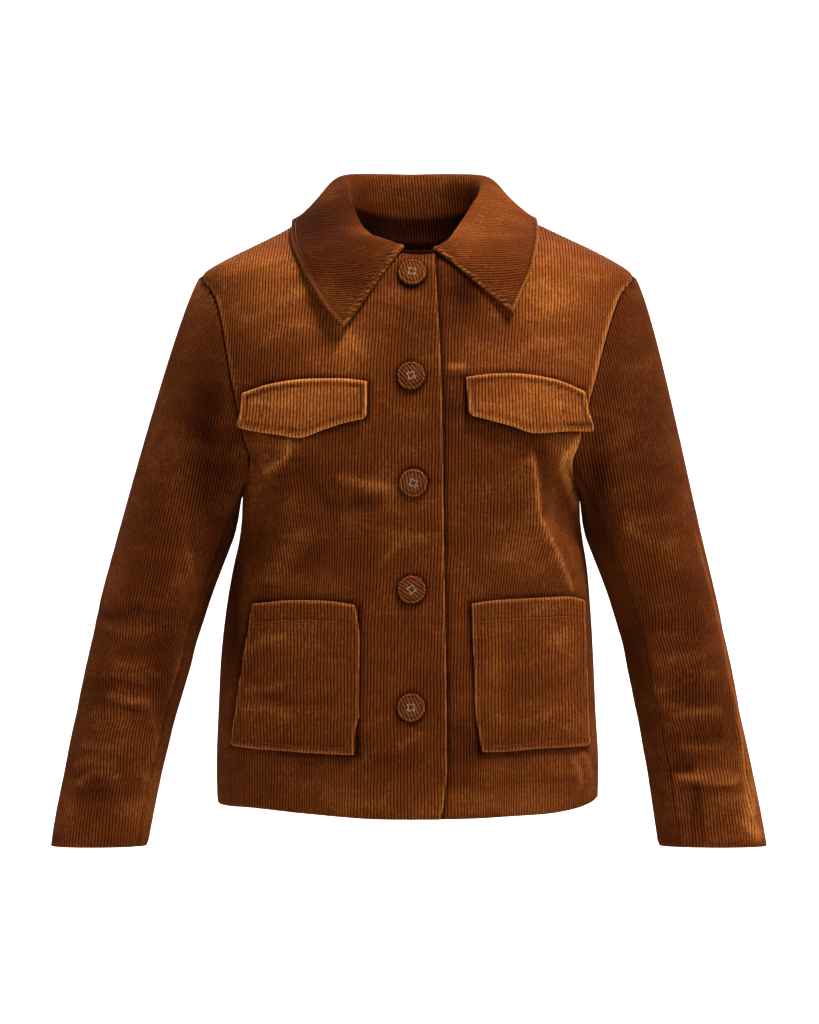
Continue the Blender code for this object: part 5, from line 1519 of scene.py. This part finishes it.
def collar_layer(name, low, high, upper):
    """A layer of the collar, with ribs across its length that spread from its neck to its edge."""
    sheet, normal = collar_sheet()
    if not upper:
        rows = np.arange(len(sheet))
        rows = np.append(rows[:-EDGE_ROWS:2], rows[-EDGE_ROWS::4])
        sheet, normal = sheet[rows], normal[rows]
    middle = sheet.shape[1] // 2
    walked = np.array([lengths(row) for row in sheet])
    walked -= walked[:, middle : middle + 1]
    drops = np.linalg.norm(np.diff(sheet, axis=0), axis=2)
    to_edge = np.concatenate([np.cumsum(drops[::-1], axis=0)[::-1], np.zeros((1, len(drops[0])))])
    places = wale_places(walked.min(), walked.max())
    u = np.clip(np.broadcast_to(places, (len(sheet), len(places))), walked[:, :1], walked[:, -1:])
    table = np.concatenate([sheet, normal, to_edge[..., None]], axis=2)
    laid = np.array([spots(*row) for row in zip(u, walked, table)])
    points, normals, from_edge = laid[..., :3], unit(laid[..., 3:6]), laid[..., 6]
    down = lengths(sheet[:, middle])
    z = np.broadcast_to(down[:, None], u.shape)
    ends = np.minimum(u - walked[:, :1], walked[:, -1:] - u)
    on_fall = (z > STAND_HEIGHT) * 1.0
    edge = np.minimum(ends, from_edge)
    height = rib(places, z) * (ends > ON_EDGE)
    # Collar edges lighter: wear and a painted highlight.
    tone = EDGE_TONE * near(edge, 0.0024)
    # Painted shade on the collar's stand, darker towards its sides, and broad painted light and
    # shade.
    shaded = STAND_SHADE[0] + STAND_SHADE[1] * ease((np.abs(points[..., 0]) - 0.015) / 0.040)
    brushing_and_shading = painted_shading(points, COLLAR_PAINTED_SHADING, 1 - (1 - on_fall) * shaded)
    rises, facing = (low, high), -normals
    if upper:
        y = points[..., 1]
        seen = on_fall * (ease((-y - 0.012) / 0.030) + ease((y - 0.035) / 0.030))
        line = edge - COLLAR_STITCH
        drop = lathe(edge, HEM_ROUND) + (groove(line) - padding(edge, COLLAR_STITCH)) * seen
        rises = (high + GROUND + WALE_HEIGHT * COLLAR_RIB * height - drop, low)
        facing = normals
        # Painted shade in the stitch groove.
        tone -= 0.6 * near(line, STITCH_WIDTH) * on_fall
        at = np.argmin(np.abs(from_edge - COLLAR_STITCH) + FAR * (on_fall < 1), axis=0)
        across = np.arange(len(places))
        route = (points + normals * (high + THREAD_RISE))[at, across]
        paths = [route[(ends[at, across] > COLLAR_STITCH) & (np.abs(places) < 1)]]
        lifted = sheet + normal * (high + THREAD_RISE)
        rows = np.arange(int(np.argmax(down > 0.045)), len(sheet) - EDGE_ROWS + 3)
        for end, sign in ((0, -1), (-1, 1)):
            where = sign * (np.abs(walked[:, end]) - COLLAR_STITCH)
            paths.append(np.array([spots(where[r], walked[r], lifted[r]) for r in rows]))
        sew(name, paths)
    surface, more = (points, normals), {"facing": facing}
    ribbed(name, (u, z), (places, z), surface, height, rises, tone, brushing_and_shading, more)


def sew(name, paths):
    """Stitches of thread along paths on the cloth, one object for the piece."""
    points, faces = [], []
    for path in paths:
        walked = lengths(path)
        for start in np.arange(STITCH_EVERY / 2, walked[-1] - STITCH_LENGTH, STITCH_EVERY):
            stitch = spots(start + STITCH_LENGTH * STITCH_PLACES, walked, path)
            middle = stitch.mean(axis=0)
            tube(points, faces, middle + (stitch - middle) * STITCH_ENDS[:, None], THREAD, 5)
    dress(add_mesh(name + "_stitches", points, faces), brown_thread)


# ---------------------------------------------------------------------------- flaps and pockets
def patch(name, side, outline, stitches, free_edge=0.0, bulge=0.0, sway=None):
    """A cloth piece laid on its front, with turned edges and lines of stitching along them."""
    table = np.array(outline)
    fine = np.linspace(0, 1, 60)
    upper, lower = along(table[:, :2], fine), along(table[:, 2:], fine)

    def sides(z):
        low, high = (
            np.interp(-z, [-upper[end, 1], -lower[end, 1]], [upper[end, 0], lower[end, 0]])
            for end in (0, -1)
        )
        if sway:
            low = low + lookup((z - upper[0, 1]) / (lower[0, 1] - upper[0, 1]), sway)
        return low, high

    def ends(u):
        bottom, top = (np.interp(u, line[:, 0], line[:, 1]) for line in (lower, upper))
        to_side = np.minimum(u - lower[0, 0], lower[-1, 0] - u)
        bottom = bottom + CORNER - np.sqrt(CORNER**2 - np.clip(CORNER - to_side, 0, CORNER) ** 2)
        return bottom, top

    def laid(u, z):
        """Points and normals of the patch's under side."""
        bottom, top = ends(u)
        down = np.clip((top - z) / np.maximum(top - bottom, 1e-6), 0, 1)
        lift = PATCH_LIFT + free_edge * down**FLAP_CURL
        if side == RIGHT:
            lift = lift + front_lift(u)
        followed = front_at(u, z, side, lift)
        if not free_edge:
            return followed
        kept = np.minimum(u, FLAP_FLAT_FROM)
        straight = front_at(kept, z, side, lift)
        straight[0][..., 0] += side * (u - kept)
        straight[0][..., 1] += FLAP_SLOPE * (u - kept)
        share = ease(down * FLAP_LETS_GO)[..., None]
        points, normals = (a * (1 - share) + b * share for a, b in zip(followed, straight))
        return points, unit(normals)

    def inset(u, z):
        """Distance to the sides and the bottom."""
        low, high = sides(z)
        return np.minimum(np.minimum(u - low, high - u), z - ends(u)[0])

    places = wale_places(table[:, 0].min(), table[:, (0, 2)].max())
    rows = np.arange(lower[:, 1].min(), upper[:, 1].max(), PATCH_ROW)
    u, z = net(places, np.concatenate([[-FAR], rows, [FAR]]), sides, ends)
    low, high = sides(z)
    bottom, top = ends(u)
    height = rib(places, z) * ((u > low + ON_EDGE) & (u < high - ON_EDGE))
    points, normals = laid(u, z)
    border = inset(u, z)
    edge = np.minimum(border, top - z)
    crease = MM * creases(points, PATCH_CREASES)
    puff = bulge * ease(edge / PUFF_OVER)
    drop = lathe(edge, CUFF_ROUND)
    # Patch edges lighter: wear and a painted highlight.
    tone = 0.9 * near(edge, 0.0022)
    drawn = 1.0 if free_edge else 0.35
    paths = []
    for where, distance in stitches:
        line = {"edge": edge, "border": border, "top": top - z}[where] - distance
        deep = np.where((u - low < 0.009) | (high - u < 0.009), drawn, 1.0)
        drop = drop + groove(line) * deep
        # Painted shade in the stitch groove.
        tone = tone - (0.6 if free_edge else 0.3) * near(line, 0.0012) * deep
        paths += stitch_paths(where, distance, sides, ends, (low.min(), high.max()))
    drop = drop - padding(edge if free_edge else z - bottom, stitches[0][1])
    rise = CLOTH + GROUND + PATCH_THICKER
    rises = (rise + WALE_HEIGHT * height + puff + crease - drop, PATCH_UNDER + puff + crease)
    # The creases' painted light and shade.
    tone = tone + np.clip(crease / FULL_CREASE, -1, 1) * 0.5
    # Broad painted light and shade of the flaps and pockets, a little lighter overall.
    brushing_and_shading = painted_shading(points, PATCH_PAINTED_SHADING, 1.08)
    surface = points, normals
    ribbed(name, (u, z), (places, z), surface, height, rises, tone, brushing_and_shading)
    routes = []
    for path in paths:
        route, facing = laid(*path)
        swell = bulge * ease(inset(*path) / PUFF_OVER)
        routes.append(route + facing * (rise + THREAD_RISE + swell)[..., None])
    sew(name, routes)


def stitch_paths(where, distance, sides, ends, span):
    """Lines at a distance inside a patch's edges, as places and heights."""
    u = np.linspace(*span, 200)
    bottom, top = ends(u)
    lines = []
    rounds = {"top": [top - distance], "border": [bottom + distance]}
    rounds["edge"] = rounds["border"] + rounds["top"]
    for z in rounds[where]:
        low, high = sides(z)
        inside = 0.006 if where == "top" else distance
        kept = (u > low + inside) & (u < high - inside)
        lines.append((u[kept], z[kept]))
    if where == "top":
        return lines
    z = np.linspace(bottom.min(), top.max(), 120)
    for number, sign in ((0, 1), (1, -1)):
        edge_u = sides(z)[number] + sign * distance
        bottom, top = ends(edge_u)
        kept = (z > bottom + distance) & (z < top - (distance if where == "edge" else 0.002))
        lines.append((edge_u[kept], z[kept]))
    return lines


# ---------------------------------------------------------------------------- buttons
def button(name, x, z, turn):
    """A button covered with corduroy, its ribs across it, with a flower of pale thread."""
    base, normal = front_at(np.array(-x), np.array(z), RIGHT, np.array(FRONT_LIFT + BUTTON_SINK))
    facing = Vector(normal).to_track_quat("Z", "Y").to_matrix().to_4x4()
    spin = Matrix.Rotation(math.radians(turn), 4, "Z")
    place = Matrix.Translation(Vector(base)) @ facing @ spin

    radii = np.concatenate([np.linspace(0, 0.70, 15), np.linspace(0.74, 1.0, 10)])[:, None]
    angles = np.linspace(0, 2 * math.pi, BUTTON_STEPS + 1)[:-1]
    px, py = (radii * way(angles) * BUTTON_RADIUS for way in (np.cos, np.sin))
    height = rib(px + BUTTON_RIB_SHIFT)
    out = 1 + 0.035 * (height - 0.6) * np.maximum(radii - 0.85, 0) / 0.15
    up = lookup(radii, BUTTON_FACE) * BUTTON_HEIGHT + BUTTON_RIDGE * (height - 0.5)
    # Painted highlight on the rim, painted shade in the groove, and a darker middle.
    tone = sum(amount * near(radii - at, wide) for at, wide, amount in BUTTON_TONES) + 0 * px
    points = [np.stack([px * out, py * out, up], axis=-1)]
    values = [np.stack([px, py, height], axis=-1)]
    tones = [tone]
    for r, h in BUTTON_UNDER:
        px, py = (r * way(angles) * BUTTON_RADIUS for way in (np.cos, np.sin))
        points.append(np.stack([px, py, 0 * px + h * BUTTON_HEIGHT], axis=-1)[None])
        plain = 0 * px + r * BUTTON_RADIUS, angles * 0.01, 0 * px + 0.3
        values.append(np.stack(plain, axis=-1)[None])
        tones.append(0 * px[None])
    points = np.concatenate(points)
    rows, count = points.shape[:2]
    faces = []
    for a in range((rows - 1) * count):
        b = a - count + 1 if (a + 1) % count == 0 else a + 1
        faces.append((a, a + count, b + count, b))
    piece = add_mesh(name + "_cloth", points.reshape(-1, 3).tolist(), faces)
    write_value(piece, "cloth", np.concatenate(values).reshape(-1, 3))
    write_value(piece, "tone", np.concatenate(tones).ravel())
    write_value(piece, "painted_shading", np.ones((rows * count, 3)))
    piece.data.transform(place)
    dress(piece, button_cloth, name)

    points, faces = [], []
    for n in range(4):
        a = math.radians(20 + 90 * n)
        b = np.linspace(a + math.pi * 0.80, a - math.pi * 0.80, 13)
        loop_x = math.cos(a) * PETAL_OUT + PETAL * np.cos(b)
        loop_y = math.sin(a) * PETAL_OUT + PETAL * np.sin(b)
        loop_z = np.full(len(b), BUTTON_HEIGHT * 0.93 + THREAD_RISE)
        tube(points, faces, np.stack([loop_x, loop_y, loop_z], axis=1), PETAL_THREAD)
    stitch = add_mesh(name + "_thread", points, faces)
    stitch.data.transform(place)
    dress(stitch, pale_thread)


def tube(points, faces, path, radius, sides=6):
    """Adds a round thread along a path to the lists of points and faces."""
    start = len(points)
    for place, way in zip(path, unit(np.gradient(path, axis=0))):
        across = unit(np.cross(way, (0.0, 0.0, 1.0)) + 1e-9)
        up = np.cross(across, way)
        for n in range(sides):
            a = 2 * math.pi * n / sides
            points.append(tuple(place + radius * (across * math.cos(a) + up * math.sin(a))))
    for j in range(start, len(points) - sides, sides):
        for i in range(sides):
            a, b = j + i, j + (i + 1) % sides
            faces.append((a, b, b + sides, a + sides))
    faces.append(tuple(range(start + sides - 1, start - 1, -1)))
    faces.append(tuple(range(len(points) - sides, len(points))))


# ---------------------------------------------------------------------------- materials
def new_material(name, settings):
    material = bpy.data.materials.new(name)
    material.use_nodes = True
    tree = material.node_tree
    shader = tree.nodes["Principled BSDF"]
    for key, value in settings.items():
        shader.inputs[key].default_value = value
    return material, tree.nodes, tree.links, shader


def corduroy(name, groove_colour, ridge_colour, light_colour):
    """Cotton pile: grooves partly painted shade, brushed unevenly, edges and creases worn and
    painted lighter.
    """
    material, nodes, links, shader = new_material(name, PILE)

    def node(kind, inputs, **settings):
        """A node with its settings, and values or links for its inputs."""
        added = nodes.new("ShaderNode" + kind)
        for key, value in settings.items():
            setattr(added, key, value)
        for key, value in inputs.items():
            if isinstance(value, bpy.types.NodeSocket):
                links.new(value, added.inputs[key])
            else:
                added.inputs[key].default_value = value
        return added.outputs

    def noise(vector, scale, detail, stretch=(1, 1, 1), distortion=0.0):
        vector = node("Mapping", {"Scale": stretch, "Vector": vector})["Vector"]
        inputs = {"Scale": scale, "Detail": detail, "Distortion": distortion, "Vector": vector}
        return node("TexNoise", inputs)["Fac"]

    def calc(kind, a, b, clamp=False):
        return node("Math", {0: a, 1: b}, operation=kind, use_clamp=clamp)[0]

    def centred(value, amount):
        return calc("MULTIPLY", calc("SUBTRACT", value, 0.5), amount)

    def mix(share, a, b):
        a, b = ((*c, 1) if isinstance(c, tuple) else c for c in (a, b))
        return node("Mix", {"Factor": share, "A": a, "B": b}, data_type="RGBA")["Result"]

    cloth = node("Attribute", {}, attribute_name="cloth")["Vector"]
    tone = node("Attribute", {}, attribute_name="tone")["Fac"]
    painted_shading_factor = node("Attribute", {}, attribute_name="painted_shading")["Vector"]
    place = node("TexCoord", {})["Object"]
    tufts = noise(cloth, 900, 2, (1.0, 0.45, 0.0))
    flecks = noise(place, 300, 3)
    brushing_and_shading = noise(place, 30, 4, (0.8, 1.0, 1.7), 0.8)
    broad = noise(place, 11, 3, (1.0, 1.0, 1.3), 0.6)
    ridge = calc("POWER", node("SeparateXYZ", {0: cloth})["Z"], 1.3)
    ridge = calc("ADD", ridge, centred(tufts, 0.9), True)
    # Random brushing, flecks and the tone attribute: above 0 wear and painted highlight, below 0
    # painted shade.
    light = calc("ADD", centred(brushing_and_shading, 0.9), centred(broad, 0.8))
    light = calc("ADD", light, centred(flecks, 0.9))
    light = calc("ADD", light, tone)
    colour = mix(ridge, groove_colour, ridge_colour)
    colour = mix(calc("MULTIPLY", calc("MAXIMUM", light, 0.0), ridge, True), colour, light_colour)
    shade = calc("MULTIPLY", calc("MINIMUM", light, 0.0), -0.8, True)
    colour = mix(shade, colour, groove_colour)
    # The colour times the broad painted light and shade held at each point.
    colour = node("VectorMath", {0: colour, 1: painted_shading_factor}, operation="MULTIPLY")["Vector"]
    bump = node("Bump", {"Strength": 0.35, "Distance": 0.0006, "Height": tufts})["Normal"]
    links.new(colour, shader.inputs["Base Color"])
    links.new(bump, shader.inputs["Normal"])
    return material


def thread_material(name, colour):
    settings = {"Roughness": 0.85, "Specular IOR Level": 0.08}
    material, nodes, links, shader = new_material(name, settings)
    noise = nodes.new("ShaderNodeTexNoise")
    noise.inputs["Scale"].default_value = 1500
    ramp = nodes.new("ShaderNodeValToRGB")
    ramp.color_ramp.elements[0].color = (*[c * 0.6 for c in colour], 1)
    ramp.color_ramp.elements[1].color = (*colour, 1)
    links.new(noise.outputs["Fac"], ramp.inputs["Fac"])
    links.new(ramp.outputs["Color"], shader.inputs["Base Color"])
    return material


# ---------------------------------------------------------------------------- stage, lights, camera
def floor():
    """A pale floor that turns up into a wall far behind the jacket."""
    profile = [(-6.0, FLOOR_Z), (FLOOR_BACK, FLOOR_Z)]
    for a in np.radians(np.arange(7.5, 91, 7.5)):
        y = FLOOR_BACK + FLOOR_BEND * math.sin(a)
        profile.append((y, FLOOR_Z + FLOOR_BEND * (1 - math.cos(a))))
    profile.append((FLOOR_BACK + FLOOR_BEND, 5.0))
    points = [(x, y, z) for y, z in profile for x in (-9.0, 9.0)]
    faces = [(2 * n, 2 * n + 1, 2 * n + 3, 2 * n + 2) for n in range(len(profile) - 1)]
    piece = add_mesh("floor", points, faces)
    look = {"Base Color": (0.86, 0.86, 0.86, 1), "Roughness": 0.9, "Specular IOR Level": 0.1}
    piece.data.materials.append(new_material("pale_floor", look)[0])


def lamp(name, place, aim, size, power):
    light = bpy.data.lights.new(name, "AREA")
    light.shape = "RECTANGLE"
    light.size, light.size_y = size
    light.energy = power
    holder = bpy.data.objects.new(name, light)
    holder.location = place
    holder.rotation_euler = (Vector(aim) - Vector(place)).to_track_quat("-Z", "Y").to_euler()
    bpy.context.scene.collection.objects.link(holder)


def studio():
    world = bpy.data.worlds.new("studio")
    bpy.context.scene.world = world
    world.use_nodes = True
    world.node_tree.nodes["Background"].inputs["Color"].default_value = (1.0, 1.0, 1.0, 1)
    world.node_tree.nodes["Background"].inputs["Strength"].default_value = 0.10
    lamp("key", (0.60, -0.78, 1.45), (0.0, 0.0, -0.12), (0.5, 0.35), 60)
    lamp("side", (1.9, -1.2, 0.3), (0.0, 0.0, -0.30), (0.8, 1.2), 4)
    lamp("fill", (-0.6, -3.0, 0.2), (0.0, 0.0, -0.35), (1.6, 1.6), 4)
    for name, side in (("wall_left", -1), ("wall_right", 1)):
        lamp(name, (2.8 * side, 1.9, 1.6), (0.8 * side, 3.4, -0.1), (1.6, 1.6), 125)
    lamp("floor_light", (0.0, 2.3, 2.6), (0.0, 2.6, -0.94), (3.0, 1.0), 80)


def camera():
    """Level, from where the photo was taken."""
    data = bpy.data.cameras.new("camera")
    data.sensor_fit = "VERTICAL"
    data.sensor_height = data.sensor_width = SENSOR
    data.lens = PHOTO_FOCUS / PHOTO_HEIGHT * SENSOR
    holder = bpy.data.objects.new("camera", data)
    holder.location = (-0.0015, -2.3, -0.3065)
    holder.rotation_euler = (math.pi / 2, 0.0, 0.0)
    bpy.context.scene.collection.objects.link(holder)
    bpy.context.scene.camera = holder


# ---------------------------------------------------------------------------- the jacket
jacket_cloth, button_cloth = (corduroy(*row) for row in CLOTH_COLOURS)
pale_thread, brown_thread = (thread_material(*row) for row in THREAD_COLOURS)

front("left_front", LEFT)
front("right_front", RIGHT)
back("back")
top_sleeve("left_top_sleeve", LEFT, LEFT_SLEEVE_CREASES, LEFT_SLEEVE_STROKES)
top_sleeve("right_top_sleeve", RIGHT, RIGHT_SLEEVE_CREASES, RIGHT_SLEEVE_STROKES)
under_sleeve("left_under_sleeve", LEFT)
under_sleeve("right_under_sleeve", RIGHT)
collar_layer("under_collar", 0.0, PLY - 0.0002, False)
collar_layer("upper_collar", PLY + FOLD_GAP, 2 * PLY + FOLD_GAP, True)
patch("left_chest_flap", LEFT, LEFT_FLAP, FLAP_STITCHES, free_edge=FLAP_OPEN)
patch("right_chest_flap", RIGHT, RIGHT_FLAP, FLAP_STITCHES, free_edge=FLAP_OPEN)
patch("left_hip_pocket", LEFT, LEFT_POCKET, POCKET_STITCHES, bulge=PUFF, sway=LEFT_SWAY)
patch("right_hip_pocket", RIGHT, RIGHT_POCKET, POCKET_STITCHES, bulge=PUFF, sway=RIGHT_SWAY)
for number, row in enumerate(BUTTONS, 1):
    button(f"button_{number}", *row)

floor()
studio()
camera()
bpy.context.scene.view_settings.view_transform = "Standard"
